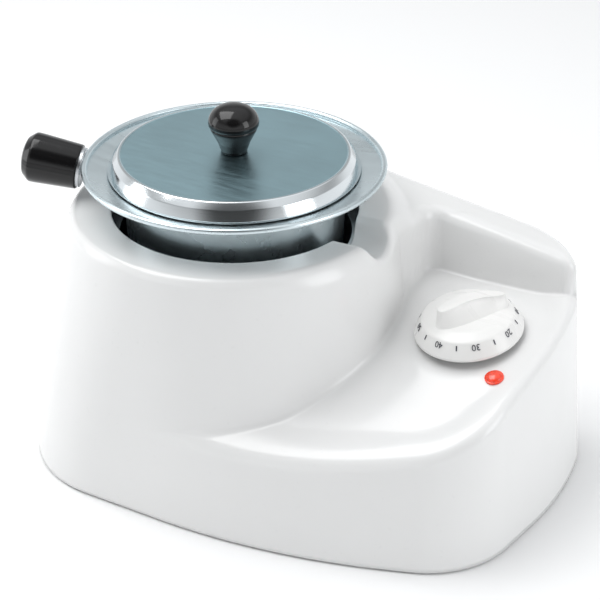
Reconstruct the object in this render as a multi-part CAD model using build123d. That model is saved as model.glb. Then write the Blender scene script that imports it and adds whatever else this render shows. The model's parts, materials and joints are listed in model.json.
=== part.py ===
from build123d import *
import os
from math import cos, radians, sin, sqrt, tan

# Salon wax heater: a moulded casing with a heated well, a lidded pot in the well and a dial on a tray.
# Millimetres, +Z up. The pieces are modelled about the pot's axis, with the dial end towards +X and the
# front towards -Y. At the end everything is shifted so that the origin is the middle of the footprint.

# ---- casing -------------------------------------------------------------------------------------------
CASING_HALF_DEPTH = 105.0      # front and back walls from the pot axis, at the bottom rim
CASING_LENGTH_RIGHT = CASING_HALF_DEPTH + 93.5   # pot axis to the dial end, at the bottom rim
CASING_HEIGHT = 150.0          # crest of the tower above the table
DRAFT = 4.6                    # degrees, of every moulded outer wall
WALL = 3.0
RIM_Z = 1.5                    # bottom rim above the table
LEFT_CORNER_R = 66.0
FRONT_BOW_START = 10.0         # where the front wall starts to bow towards the dial end
FRONT_BOW_R = 380.0
FRONT_BOW_TURN = 20.5          # degrees
FRONT_CORNER_R = 56.0
END_TURN = 82.0                # degrees from +X where the front corner runs into the end wall
END_BOW_R = 205.0
END_LEAN = 100.0               # degrees from +X of the end wall's last stretch
BACK_CORNER_R = 52.0

# ---- tray and rear wall -------------------------------------------------------------------------------
TRAY_TOP_Z = 104.5             # highest level of the tray, at the foot of the rear wall
TRAY_TOP_Y = CASING_HALF_DEPTH - 18.4
TRAY_ARC_R = 363.0             # front-to-back crown of the tray
TRAY_DISH_R = 700.0            # side-to-side hollow of the tray
TRAY_DISH_X = 112.0
TRAY_TIP_X = 2.0               # where the tray runs out against the tower's front
RECESS_X = CASING_HALF_DEPTH - 15.0   # left face of the recess behind the dial
RECESS_Y = CASING_HALF_DEPTH - 38.0   # front face of the rear wall
RECESS_R = 10.0
REAR_WALL_START_X = 22.0       # where the rear wall's top starts to fall
REAR_WALL_FALL = 0.145         # drop of the rear wall's top per millimetre of length

# ---- well, notch --------------------------------------------------------------------------------------
WELL_R = 69.5                  # hole in the tower's top
FUNNEL_R = 86.0                # outer edge of the shallow funnel round the hole
FUNNEL_DROP = 0.6
NOTCH_R = 14.0                 # round-bottomed groove through the tower's crest
NOTCH_DEPTH = 12.0
NOTCH_Y = 4.5

# ---- pot ----------------------------------------------------------------------------------------------
POT_R = 62.5                   # outside of the bowl under the flange
POT_BASE_R = POT_R - 3.5
POT_WALL = 1.2
POT_BASE_Z = 75.2
POT_CORNER_R = 9.0
RIM_R = 85.0                   # outside of the rolled bead
POT_RIM_Z = CASING_HEIGHT + 26.0      # top of the rolled bead
BEAD_R = 1.7
FLANGE_ROOT_Z = POT_RIM_Z - 8.5
FLANGE_SEAT_R = 67.5
HANDLE_ANGLE = 202.0           # direction of the pot handle in plan, degrees from +X
HANDLE_RISE = 10.0             # degrees
HANDLE_ROOT_R = 88.5           # handle's root face from the pot axis
HANDLE_ROOT_Z = POT_RIM_Z - 9.8
HANDLE_LENGTH = 32.5
HANDLE_R1 = 12.8
HANDLE_R2 = 14.2
FERRULE_T = 1.6
STRAP_W = 12.0
STRAP_T = 2.0
STUD_R = 2.5

# ---- lid ----------------------------------------------------------------------------------------------
LID_R = 70.5
LID_TOP_R = 65.0
LID_TOP_Z = POT_RIM_Z + 6.0
LID_WALL = 1.0
LID_EDGE_GAP = 0.35            # lid edge above the pot's flange
LID_KNOB_NECK_R = 7.5
LID_KNOB_R = 14.1
LID_KNOB_WIDE_H = 17.0
LID_KNOB_H = 27.3
LID_SCREW_R = 2.5

# ---- heater stack (from the base plate upwards) -------------------------------------------------------
PLATE_T = 2.5
CARRIER_Z = 50.0
CARRIER_T = 1.2
PAD_R = 62.0
HOTPLATE_T = 8.0
HOTPLATE_R = 60.0
HOTPLATE_SKIRT = 8.0
HOTPLATE_SKIRT_T = 4.0
ELEMENT_RING_R = 42.0
ELEMENT_R = 3.5
LINER_R = 67.0
LINER_T = 1.0
LINER_LIP = 7.0
POST_PCD_R = 50.0
POST_R = 4.0
POST_COUNT = 3
CARRIER_SCREW_R = 2.0

# ---- dial and thermostat ------------------------------------------------------------------------------
DIAL_X = CASING_HALF_DEPTH + 35.0
DIAL_Y = 16.0
DIAL_LEAN_X = -0.08            # the dial's axis leans by these amounts per unit of height
DIAL_LEAN_Y = -0.16
DIAL_SEAT_R = 17.0
DIAL_SEAT_H = 1.6              # seat above the tray at the dial's centre
DIAL_SEAT_T = 6.0
SKIRT_GAP = 0.9                # knob's lower edge above the seat's plane
SKIRT_R = 30.2
SKIRT_TOP_R = 25.2
SKIRT_H = 8.0
KNOB_WALL = 2.0
GRIP_H = 9.5
GRIP_W = 13.0
GRIP_TURN = 62.0               # degrees from +X of the grip's long axis
SPINDLE_R = 3.0
SPINDLE_FLAT = 0.8
SPINDLE_OUT = 13.0             # spindle above the seat
RUN_GAP = 0.05                 # running fit, radial
HUB_R = 6.0
THERMO_R = 18.0
THERMO_H = 16.0
THERMO_COLLAR_R = 4.6
THERMO_SCREW_PCD_R = 11.0
THERMO_SCREW_R = 1.8
BULB_R = 3.0
BULB_L = 40.0
CAPILLARY_R = 0.9

# ---- pilot lamp ---------------------------------------------------------------------------------------
LAMP_X = DIAL_X + 28.0
LAMP_Y = DIAL_Y - 28.0
LENS_R = 4.2
LENS_H = 2.4
LAMP_BODY_R = 4.0
LAMP_BODY_L = 20.0
LAMP_SEAT_T = 5.0
LAMP_SEAT_R = 8.5

# ---- base, fasteners, wiring --------------------------------------------------------------------------
BASE_GAP = 0.6                 # base plate to the casing's inner wall
FOOT_R = 9.0
FOOT_STUD_R = 2.5
BOSS_R = 5.0
BOSS_H = 26.0
SCREW_R = 1.75
SCREW_L = 14.0
SCREW_HEAD_R = 3.4
WIRE_R = 1.2
BUSH_R = 8.0
BUSH_BORE_R = 3.75
BUSH_X = 118.0
BUSH_Z = 20.0
BUSH_OUT = 6.0
CLAMP_IN = 24.0                # cord clamp in from the back wall
FIT = 0.2                      # clearance of pieces that drop into holes
EPS = 0.3

CAPILLARY_X = 26.0             # the capillary's way down through the heater stack
CAPILLARY_HOLE_R = 4.0
EARTH_X = 62.0                 # earth screw under the carrier
TAIL_ANGLES = (-62, -118)      # directions of the element's two cold ends
TAIL_R = 1.6
KNOB_SPRING_T = 0.6
CLAMP_SCREW_OUT = 9.0
PLATE_TOP = RIM_Z + PLATE_T
PAD_Z = CARRIER_Z + CARRIER_T
HOTPLATE_TOP = POT_BASE_Z - FIT
HOTPLATE_Z = HOTPLATE_TOP - HOTPLATE_T
SKIRT_Z = HOTPLATE_Z - HOTPLATE_SKIRT
LINER_TOP = CASING_HEIGHT - NOTCH_DEPTH - WALL - 1
POST_ANGLES = [90 + 360 * k / POST_COUNT for k in range(POST_COUNT)]

BASE_POINTS = [(-72, -72), (-72, 72), (20, -86), (30, 88), (150, -52), (150, 72)]
FOOT_POINTS = [(-58, -78), (-58, 78), (158, -30), (160, 50)]
BLOCK_AT = (112, 62)           # terminal block
BLOCK_SIZE = (36, 18, 14)


def inset_polygon(points, d):
    """Corners of a convex anticlockwise polygon whose sides are moved inwards by d."""
    lines = []
    for (x1, y1), (x2, y2) in zip(points, points[1:] + points[:1]):
        length = sqrt((x2 - x1) ** 2 + (y2 - y1) ** 2)
        nx, ny = -(y2 - y1) / length, (x2 - x1) / length
        lines.append((nx, ny, nx * x1 + ny * y1 + d))
    corners = []
    for (a1, b1, c1), (a2, b2, c2) in zip(lines[-1:] + lines[:-1], lines):
        det = a1 * b2 - a2 * b1
        corners.append(((c1 * b2 - c2 * b1) / det, (a1 * c2 - a2 * c1) / det))
    return corners


def plan_corners():
    """Corners of the casing's plan at the table, before rounding: left front, bow, front corner,
    end wall, back corner, left back."""
    h = CASING_HALF_DEPTH
    bow = FRONT_BOW_R * tan(radians(FRONT_BOW_TURN / 2))
    bow_corner = (FRONT_BOW_START + bow, -h)
    half_end = radians(END_LEAN - 90)
    belly_y = 26.0
    end_corner = (CASING_LENGTH_RIGHT, belly_y)
    c1, s1 = cos(radians(FRONT_BOW_TURN)), sin(radians(FRONT_BOW_TURN))
    c2, s2 = cos(radians(END_TURN)), sin(radians(END_TURN))
    dx, dy = end_corner[0] - bow_corner[0], end_corner[1] - bow_corner[1]
    run = (dx * s2 - dy * c2) / (c1 * s2 - s1 * c2)
    front_corner = (bow_corner[0] + run * c1, bow_corner[1] + run * s1)
    back_corner = (end_corner[0] - (h - belly_y) * tan(half_end), h)
    return [(-h, -h), bow_corner, front_corner, end_corner, back_corner, (-h, h)]


def plan_face(z, extra):
    """The casing's plan at height z, moved inwards by extra, as a face."""
    d = z * tan(radians(DRAFT))
    share = z / CASING_HEIGHT
    corners = inset_polygon(plan_corners(), d + extra)
    top_r = CASING_HALF_DEPTH - CASING_HEIGHT * tan(radians(DRAFT))
    left_r = LEFT_CORNER_R + share * (top_r - EPS - LEFT_CORNER_R) - extra
    radii = [left_r, FRONT_BOW_R, FRONT_CORNER_R - d - extra, END_BOW_R,
             BACK_CORNER_R - d - extra, left_r]
    outline = FilletPolyline(*corners, radius=radii, close=True)
    return Pos(0, 0, z) * make_face(outline).face()


def tower(z1, z2, extra):
    """The round tower between two heights, moved inwards by extra."""
    r1 = CASING_HALF_DEPTH - z1 * tan(radians(DRAFT)) - extra
    r2 = CASING_HALF_DEPTH - z2 * tan(radians(DRAFT)) - extra
    return Pos(0, 0, z1) * Cone(r1, r2, z2 - z1, align=(Align.CENTER, Align.CENTER, Align.MIN))


def tray_z(x, y):
    """Height of the tray's surface."""
    crown = TRAY_TOP_Z - TRAY_ARC_R + sqrt(TRAY_ARC_R ** 2 - (y - TRAY_TOP_Y) ** 2)
    top = TRAY_TOP_Z + TRAY_DISH_R
    return top - sqrt((top - crown) ** 2 - (x - TRAY_DISH_X) ** 2)


def above_tray(lift):
    """Everything above the tray's surface lowered by lift: a crowned and dished cutter."""
    y1, y2 = -CASING_HALF_DEPTH - 25, TRAY_TOP_Y
    centre_z = TRAY_TOP_Z - TRAY_ARC_R - lift
    r = TRAY_ARC_R
    z1 = centre_z + sqrt(r ** 2 - (y1 - TRAY_TOP_Y) ** 2)
    ym = (y1 + y2) / 2
    zm = centre_z + sqrt(r ** 2 - (ym - TRAY_TOP_Y) ** 2)
    ceiling = CASING_HEIGHT + 30
    floor = ThreePointArc((y1, z1), (ym, zm), (y2, centre_z + r))
    sides = Polyline((y2, centre_z + r), (y2, ceiling), (y1, ceiling), (y1, z1))
    face = Plane(origin=(TRAY_DISH_X, 0, 0), x_dir=(0, 1, 0), z_dir=(1, 0, 0)) * make_face(floor + sides)
    axis = Axis((TRAY_DISH_X, 0, TRAY_TOP_Z + TRAY_DISH_R), (0, 1, 0))
    swing = 26
    return revolve(face.rotate(axis, -swing / 2), axis, swing)


def tray_region(extra):
    """The plan in which the tray is sunk: in front of the rear wall and of the tower's back shoulder."""
    long = 4 * CASING_HALF_DEPTH
    keep = Pos(RECESS_X - extra, RECESS_Y + extra) * Rectangle(
        long, long, align=(Align.MIN, Align.MAX))
    recess = extrude(keep, CASING_HEIGHT + 60)
    corner = recess.edges().filter_by(Axis.Z).sort_by_distance((RECESS_X, RECESS_Y, 60))[0]
    recess = fillet(corner, RECESS_R + extra)
    front = Pos(TRAY_TIP_X - extra, -long, 0) * Box(
        RECESS_X, long + NOTCH_Y, CASING_HEIGHT + 60, align=(Align.MIN, Align.MIN, Align.MIN))
    return recess + front


def over_rear_wall(lift):
    """Everything above the rear wall's falling top."""
    length = CASING_LENGTH_RIGHT + 40 - REAR_WALL_START_X
    z0 = CASING_HEIGHT - lift
    profile = Polyline(
        (REAR_WALL_START_X, z0), (REAR_WALL_START_X + length, z0 - length * REAR_WALL_FALL),
        (REAR_WALL_START_X + length, z0 + 60), (REAR_WALL_START_X, z0 + 60), close=True)
    face = Plane.XZ * make_face(profile)
    return extrude(face, 2 * CASING_HALF_DEPTH, both=True)


def casing_form(extra, lift, bottom):
    """The casing as a full solid, with walls moved in by extra and tops lowered by lift."""
    top = CASING_HEIGHT - lift
    body = loft([plan_face(bottom, extra), plan_face(top, extra)], ruled=True)
    round_tower = tower(bottom, top, extra)
    body += round_tower
    tray = (above_tray(lift) & tray_region(extra)) - tower(bottom, CASING_HEIGHT + 40, extra)
    body -= tray
    body -= over_rear_wall(lift) - tower(bottom, CASING_HEIGHT + 40, extra)
    return body


def dial_plane(height=0.0):
    """Plane across the dial's axis, at a height along that axis above the dial's seat."""
    normal = Vector(DIAL_LEAN_X, DIAL_LEAN_Y, 1).normalized()
    centre = Vector(DIAL_X, DIAL_Y, tray_z(DIAL_X, DIAL_Y) + DIAL_SEAT_H)
    return Plane(origin=centre + normal * height, x_dir=Vector(1, 0, -DIAL_LEAN_X), z_dir=normal)


def lamp_plane(height=0.0):
    """Plane across the pilot lamp's axis, which is square to the tray there."""
    step = 1.0
    slope_x = (tray_z(LAMP_X + step, LAMP_Y) - tray_z(LAMP_X - step, LAMP_Y)) / (2 * step)
    slope_y = (tray_z(LAMP_X, LAMP_Y + step) - tray_z(LAMP_X, LAMP_Y - step)) / (2 * step)
    normal = Vector(-slope_x, -slope_y, 1).normalized()
    centre = Vector(LAMP_X, LAMP_Y, tray_z(LAMP_X, LAMP_Y))
    return Plane(origin=centre + normal * height, x_dir=Vector(1, 0, slope_x), z_dir=normal)


def disc(plane, r, z1, z2):
    """A round post on a plane, from height z1 to z2 along its normal."""
    return plane * (Pos(0, 0, z1) * Cylinder(r, z2 - z1, align=(Align.CENTER, Align.CENTER, Align.MIN)))


def post(x, y, r, z1, z2):
    """An upright round post."""
    return disc(Plane.XY, r, z1, z2).moved(Pos(x, y, 0))


def ring(r_out, r_in, z1, z2):
    """A round ring on the pot's axis."""
    return post(0, 0, r_out, z1, z2) - post(0, 0, r_in, z1 - 1, z2 + 1)


def turned(points):
    """A solid of revolution about the upright axis from (radius, height) points."""
    return revolve(make_face(Plane.XZ * Polyline(*points, close=True)), Axis.Z)


def housing():
    outer = casing_form(0, 0, RIM_Z)
    inner = casing_form(WALL, WALL, 0)
    shell = outer - inner
    plate_top = RIM_Z + PLATE_T
    bosses = Part()
    for x, y in BASE_POINTS:
        bosses += post(x, y, BOSS_R, plate_top, plate_top + BOSS_H)
        web_end = CASING_HALF_DEPTH if abs(x) < 100 else CASING_LENGTH_RIGHT
        side = 1 if y > 0 else -1
        web = Box(WALL, web_end - abs(y), BOSS_H, align=(Align.CENTER, Align.MIN, Align.MIN))
        web = web if side > 0 else web.rotate(Axis.Z, 180)
        bosses += Pos(x, y, plate_top) * web
    shell += bosses & loft(
        [plan_face(RIM_Z, WALL / 2), plan_face(plate_top + BOSS_H, WALL / 2)], ruled=True)
    shell += disc(dial_plane(), DIAL_SEAT_R + WALL, -DIAL_SEAT_T, 0)
    shell += disc(lamp_plane(), LAMP_SEAT_R, -LAMP_SEAT_T, -0.4)
    for x, y in BASE_POINTS:
        shell -= post(x, y, SCREW_R - FIT / 2, 0, plate_top + SCREW_L)
    shell -= post(0, 0, WELL_R, CASING_HEIGHT / 2, CASING_HEIGHT + 5)
    shell -= Pos(0, 0, CASING_HEIGHT - FUNNEL_DROP) * Cone(
        WELL_R, FUNNEL_R, FUNNEL_DROP, align=(Align.CENTER, Align.CENTER, Align.MIN))
    notch = Pos(0, NOTCH_Y, CASING_HEIGHT - NOTCH_DEPTH + NOTCH_R) * Rot(0, 90, 0) * Cylinder(
        NOTCH_R, CASING_LENGTH_RIGHT, align=(Align.CENTER, Align.CENTER, Align.MIN))
    notch_floor = Pos(0, NOTCH_Y, 0) * Box(
        2 * (RECESS_X + 20), 2 * NOTCH_R + 2 * WALL, CASING_HEIGHT - NOTCH_DEPTH,
        align=(Align.CENTER, Align.CENTER, Align.MIN))
    trough = (notch_floor - Pos(0, 0, -WALL) * notch_floor) & outer
    trough -= post(0, 0, WELL_R, 0, CASING_HEIGHT)
    shell -= notch
    shell += trough
    shell -= disc(dial_plane(), THERMO_COLLAR_R + FIT, -20, 5)
    for side in (-1, 1):
        shell -= disc(dial_plane() * Pos(side * THERMO_SCREW_PCD_R, 0, 0), THERMO_SCREW_R + FIT, -20, 5)
    shell -= disc(lamp_plane(), LAMP_BODY_R + FIT, -20, 5)
    shell -= disc(lamp_plane(), LENS_R + 1 + FIT, -0.4, 5)
    shell -= Pos(BUSH_X, CASING_HALF_DEPTH - 30, BUSH_Z) * Rot(-90, 0, 0) * Cylinder(
        BUSH_R - 2, 60, align=(Align.CENTER, Align.CENTER, Align.MIN))
    return shell


def base_plate():
    inset = WALL + BASE_GAP
    plate = loft([plan_face(RIM_Z, inset), plan_face(PLATE_TOP, inset)], ruled=True)
    for x, y in BASE_POINTS:
        plate -= post(x, y, SCREW_R + FIT, 0, 10)
    for x, y in FOOT_POINTS:
        plate -= post(x, y, FOOT_STUD_R, 0, 10)
    for k in range(7):
        plate -= Pos(-36 + 12 * k, 0, 0) * Box(4, 50, 20)
    return plate


def base_screws():
    screws = []
    for x, y in BASE_POINTS:
        head = post(x, y, SCREW_HEAD_R, RIM_Z - 0.3, RIM_Z)
        shank = post(x, y, SCREW_R - FIT, RIM_Z, RIM_Z + PLATE_T + SCREW_L - 2)
        slot = Pos(x, y, RIM_Z - 0.3) * Box(5, 0.8, 0.4)
        screws.append(head + shank - slot)
    return screws


def rubber_feet():
    feet = []
    for x, y in FOOT_POINTS:
        pad = turned([(0, 0), (FOOT_R - 1, 0), (FOOT_R, 1), (FOOT_R, RIM_Z), (0, RIM_Z)])
        feet.append(Pos(x, y, 0) * (pad + post(0, 0, FOOT_STUD_R - 0.05, RIM_Z, RIM_Z + PLATE_T)))
    return feet


def around(angle, r, z=0.0):
    """A point at a radius and an angle round the pot's axis."""
    return (r * cos(radians(angle)), r * sin(radians(angle)), z)


def well_liner():
    wall = ring(LINER_R, LINER_R - LINER_T, PAD_Z, LINER_TOP)
    return wall + ring(LINER_R + LINER_LIP, LINER_R - LINER_T, LINER_TOP - LINER_T, LINER_TOP)


def hotplate_carrier():
    dish = ring(LINER_R + 4, 10, CARRIER_Z, PAD_Z)
    dish += ring(LINER_R + 4, LINER_R + 3, PAD_Z, PAD_Z + 5)
    for angle in POST_ANGLES:
        dish -= post(*around(angle, POST_PCD_R)[:2], CARRIER_SCREW_R + FIT, CARRIER_Z - 1, PAD_Z + 1)
    for angle in TAIL_ANGLES:
        dish -= post(*around(angle, ELEMENT_RING_R)[:2], TAIL_R + 1.2, CARRIER_Z - 1, PAD_Z + 1)
    return dish - post(CAPILLARY_X, 0, CAPILLARY_HOLE_R, CARRIER_Z - 1, PAD_Z + 1)


def carrier_posts():
    posts = []
    for angle in POST_ANGLES:
        x, y, _ = around(angle, POST_PCD_R)
        sleeve = post(x, y, POST_R, PLATE_TOP, CARRIER_Z)
        posts.append(sleeve - post(x, y, CARRIER_SCREW_R - 0.1, CARRIER_Z - 12, CARRIER_Z + 1))
    return posts


def carrier_screws():
    screws = []
    for angle in POST_ANGLES:
        x, y, _ = around(angle, POST_PCD_R)
        shank = post(x, y, CARRIER_SCREW_R - 0.15, CARRIER_Z - 10, PAD_Z)
        screws.append(shank + post(x, y, 3.6, PAD_Z, PAD_Z + 2.2))
    return screws


def insulation_pad():
    pad = ring(PAD_R, 9, PAD_Z, SKIRT_Z)
    for angle in POST_ANGLES:
        pad -= post(*around(angle, POST_PCD_R)[:2], 4.2, PAD_Z - 1, SKIRT_Z + 1)
    for angle in TAIL_ANGLES:
        pad -= post(*around(angle, ELEMENT_RING_R)[:2], TAIL_R + 1.2, PAD_Z - 1, SKIRT_Z + 1)
    return pad - post(CAPILLARY_X, 0, CAPILLARY_HOLE_R, PAD_Z - 1, SKIRT_Z + 1)


def hotplate():
    plate = post(0, 0, HOTPLATE_R, SKIRT_Z, HOTPLATE_TOP)
    return plate - post(0, 0, HOTPLATE_R - HOTPLATE_SKIRT_T, SKIRT_Z - 1, HOTPLATE_Z)


def heating_element():
    z = HOTPLATE_Z - ELEMENT_R
    sweep_angle = 360 + TAIL_ANGLES[1] - TAIL_ANGLES[0]
    tube = Rot(0, 0, TAIL_ANGLES[0]) * revolve(
        Plane.XZ * Pos(ELEMENT_RING_R, z) * Circle(ELEMENT_R), Axis.Z, sweep_angle)
    for angle in TAIL_ANGLES:
        x, y, _ = around(angle, ELEMENT_RING_R)
        tube += post(x, y, TAIL_R, CARRIER_Z - 9, z - ELEMENT_R + 1.5)
    return tube


def thermal_fuse():
    return Pos(0, 22, SKIRT_Z + 3) * Rot(0, 90, 0) * Cylinder(2.4, 14)


def thermostat_bulb():
    middle = CAPILLARY_X - 14 - BULB_L / 2
    return Pos(middle, 0, SKIRT_Z + BULB_R) * Rot(0, 90, 0) * Cylinder(BULB_R, BULB_L)


def capillary_tube():
    body_mid = dial_plane(-DIAL_SEAT_T - THERMO_H - 0.2).origin
    low = 30.0
    start = (CAPILLARY_X - 14, 0, SKIRT_Z + BULB_R)
    path = FilletPolyline(
        start, (CAPILLARY_X, 0, SKIRT_Z + BULB_R), (CAPILLARY_X, 0, low),
        (body_mid.X, body_mid.Y, low), tuple(body_mid), radius=[6, 12, 12])
    return sweep(Plane(origin=start, z_dir=(1, 0, 0)) * Circle(CAPILLARY_R), path)


def thermostat_body():
    plane = dial_plane()
    body = disc(plane, THERMO_R, -DIAL_SEAT_T - THERMO_H, -DIAL_SEAT_T)
    body += disc(plane, THERMO_COLLAR_R, -DIAL_SEAT_T, -1)
    body -= disc(plane, SPINDLE_R + RUN_GAP, -DIAL_SEAT_T - THERMO_H + 4, 5)
    for side in (-1, 1):
        spot = plane * Pos(side * THERMO_SCREW_PCD_R, 0, 0)
        body -= disc(spot, THERMO_SCREW_R - 0.1, -DIAL_SEAT_T - 8, 5)
        body += plane * Pos(side * 8, THERMO_R - 1, -DIAL_SEAT_T - THERMO_H / 2) * Box(6, 9, 0.8)
    return body


def thermostat_screws():
    plane = dial_plane()
    screws = []
    for side in (-1, 1):
        spot = plane * Pos(side * THERMO_SCREW_PCD_R, 0, 0)
        screws.append(disc(spot, THERMO_SCREW_R - 0.15, -DIAL_SEAT_T - 6, 0) + disc(spot, 3.2, 0, 0.7))
    return screws


def thermostat_spindle():
    plane = dial_plane()
    spindle = disc(plane, SPINDLE_R, -DIAL_SEAT_T - THERMO_H + 5, SPINDLE_OUT)
    flat = plane * Pos(0, SPINDLE_R - SPINDLE_FLAT, 1) * Box(
        10, 10, SPINDLE_OUT, align=(Align.CENTER, Align.MIN, Align.MIN))
    return spindle - flat


def control_knob():
    plane = dial_plane(SKIRT_GAP)
    top = SKIRT_H + 3
    skirt = turned([
        (0, 0), (SKIRT_R, 0), (SKIRT_R, 1.5), (SKIRT_TOP_R, SKIRT_H + 1.5), (SKIRT_TOP_R - 3, top), (0, top)])
    inside = SKIRT_R - KNOB_WALL
    hollow = turned([
        (0, -1), (inside, -1), (inside, 1), (SKIRT_TOP_R - KNOB_WALL, SKIRT_H), (0, SKIRT_H)])
    length = 2 * SKIRT_TOP_R - 3
    grip = Pos(0, 0, top - 1) * Rot(0, 0, GRIP_TURN) * extrude(
        SlotOverall(length, GRIP_W), GRIP_H + 1, taper=7)
    hub = post(0, 0, HUB_R, 1.2, SKIRT_H + 1)
    knob = skirt - hollow + grip + hub
    bore = post(0, 0, SPINDLE_R + RUN_GAP, -1, SPINDLE_OUT - SKIRT_GAP + 0.3)
    flat = Pos(0, SPINDLE_R - SPINDLE_FLAT + RUN_GAP + KNOB_SPRING_T, 0) * Box(
        10, 10, 30, align=(Align.CENTER, Align.MIN, Align.CENTER))
    return plane * (knob - (bore - flat))


def knob_spring():
    plane = dial_plane(SKIRT_GAP)
    leaf = Box(2.2, KNOB_SPRING_T - 0.1, 7, align=(Align.CENTER, Align.MIN, Align.MIN))
    return plane * (Pos(0, SPINDLE_R - SPINDLE_FLAT + RUN_GAP + 0.02, 4.0) * leaf)


def pilot_lamp_lens():
    r = LENS_R
    dome = [(0, -0.4), (r + 1, -0.4), (r + 1, 0.3), (r, 0.6)]
    dome += [(r * cos(radians(a)), 0.6 + (LENS_H - 0.6) * sin(radians(a))) for a in (30, 55, 75)]
    return lamp_plane() * turned(dome + [(0, LENS_H)])


def pilot_lamp_body():
    return disc(lamp_plane(), LAMP_BODY_R, -LAMP_BODY_L, -0.4)


def pilot_lamp_clip():
    plane = lamp_plane()
    return disc(plane, LAMP_BODY_R + 3, -LAMP_SEAT_T - 1.5, -LAMP_SEAT_T) - disc(
        plane, LAMP_BODY_R + 0.1, -LAMP_SEAT_T - 3, 5)


def terminal_block():
    x, y = BLOCK_AT
    block = Pos(x, y, PLATE_TOP) * Box(*BLOCK_SIZE, align=(Align.CENTER, Align.CENTER, Align.MIN))
    for k in (-1, 0, 1):
        block -= post(x + k * BLOCK_SIZE[0] / 3.2, y, 2.2, PLATE_TOP + BLOCK_SIZE[2] - 5, 40)
    return block


def terminal_screws():
    x, y = BLOCK_AT
    z = PLATE_TOP + BLOCK_SIZE[2] - 5
    return [post(x + k * BLOCK_SIZE[0] / 3.2, y, 2.0, z, z + 3.5) for k in (-1, 0, 1)]


def wire(*points):
    """An internal lead along straight runs joined by tangent arcs."""
    path = FilletPolyline(*points, radius=5)
    start = Vector(*points[0])
    return sweep(Plane(origin=start, z_dir=Vector(*points[1]) - start) * Circle(WIRE_R), path)


def leads():
    """The internal leads, by name: each runs level over the base plate, then up to its tag."""
    bx, by = BLOCK_AT
    face = by - BLOCK_SIZE[1] / 2 - 0.2
    step = BLOCK_SIZE[0] / 3.2
    z = PLATE_TOP + 5
    plane = dial_plane(-DIAL_SEAT_T - THERMO_H - 0.6)
    tag = [plane.origin + plane.x_dir * side * 11 for side in (-1, 1)]
    lamp = lamp_plane(-LAMP_BODY_L - 0.6).origin
    ends = [around(angle, ELEMENT_RING_R, CARRIER_Z - 9.2) for angle in TAIL_ANGLES]
    live = [(bx + step, face, z), (bx + step, tag[0].Y - 6, z)]
    live += [(tag[0].X, tag[0].Y - 6, z + 18), tuple(tag[0])]
    switched = [tuple(tag[1]), (tag[1].X, tag[1].Y - 16, z + 10), (70, -52, z + 10)]
    switched += [(ends[0][0], ends[0][1], z + 10), ends[0]]
    neutral = [(bx, face, z), (bx, -62, z), (ends[1][0], ends[1][1] - 12, z)]
    neutral += [(ends[1][0], ends[1][1], z + 10), ends[1]]
    lamp_way = [(bx + step + 5, face, z), (bx + step + 5, face - 12, z)]
    lamp_way += [(lamp.X, lamp.Y, z + 12), tuple(lamp)]
    earth = [(bx - step, face, z), (bx - step, 20, z), (EARTH_X, 0, z), (EARTH_X, 0, CARRIER_Z - 2.2)]
    return {
        "wire_live": wire(*live),
        "wire_switched": wire(*switched),
        "wire_neutral": wire(*neutral),
        "wire_lamp": wire(*lamp_way),
        "wire_earth": wire(*earth),
    }


def earth_screw():
    return post(EARTH_X, 0, 3.4, CARRIER_Z - 2, CARRIER_Z)


def cord_bush():
    wall_y = CASING_HALF_DEPTH - BUSH_Z * tan(radians(DRAFT))
    plane = Plane(origin=(BUSH_X, wall_y + 1.0, BUSH_Z), z_dir=(0, 1, 0))
    flange = disc(plane, BUSH_R, 0, BUSH_OUT - 1)
    neck = disc(plane, BUSH_R - 2 - 0.1, -7, 0)
    nut = disc(plane, BUSH_R, -9.5, -5.5)
    return flange + neck + nut - disc(plane, BUSH_BORE_R, -20, 20)


def cord_clamp():
    y = CASING_HALF_DEPTH - CLAMP_IN
    saddle = Pos(BUSH_X, y, PLATE_TOP) * Box(26, 9, 8, align=(Align.CENTER, Align.CENTER, Align.MIN))
    return saddle - Pos(BUSH_X, y, PLATE_TOP) * Rot(90, 0, 0) * Cylinder(3.2, 20)


def clamp_screws():
    y = CASING_HALF_DEPTH - CLAMP_IN
    return [post(BUSH_X + side * CLAMP_SCREW_OUT, y, 2.6, PLATE_TOP + 8, PLATE_TOP + 10) for side in (-1, 1)]


def pot():
    t = POT_WALL
    c = POT_CORNER_R
    r0, r1 = POT_BASE_R, POT_R
    zb = POT_BASE_Z
    seat_r = FLANGE_SEAT_R + 1
    seat_z = FLANGE_ROOT_Z + 2.2
    rim_r = RIM_R - BEAD_R
    rim_z = POT_RIM_Z - 2 * BEAD_R
    outer = [(0, zb), (r0 - c, zb)]
    outer += [(r0 - c + c * sin(radians(a)), zb + c - c * cos(radians(a))) for a in (30, 60, 90)]
    outer += [(r1, FLANGE_ROOT_Z), (seat_r, seat_z), (rim_r, rim_z)]
    inner = [(rim_r, rim_z + t), (seat_r - 0.4, seat_z + t)]
    inner += [(r1 - t, FLANGE_ROOT_Z + t * 0.8), (r0 - t, zb + c)]
    k = c - t
    inner += [(r0 - c + k * sin(radians(a)), zb + c - k * cos(radians(a))) for a in (60, 30)]
    inner += [(r0 - c, zb + t), (0, zb + t)]
    bowl = turned(outer + inner)
    bead = revolve(Plane.XZ * Pos(RIM_R - BEAD_R, POT_RIM_Z - BEAD_R) * Circle(BEAD_R), Axis.Z)
    return bowl + bead


def handle_plane(along=0.0):
    """Plane across the pot handle's axis, at a distance beyond the handle's root."""
    direction = Vector(*around(HANDLE_ANGLE, cos(radians(HANDLE_RISE)), sin(radians(HANDLE_RISE))))
    root = Vector(*around(HANDLE_ANGLE, HANDLE_ROOT_R, HANDLE_ROOT_Z))
    level = Vector(*around(HANDLE_ANGLE + 90, 1))
    return Plane(origin=root + direction * along, x_dir=level, z_dir=direction)


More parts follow.
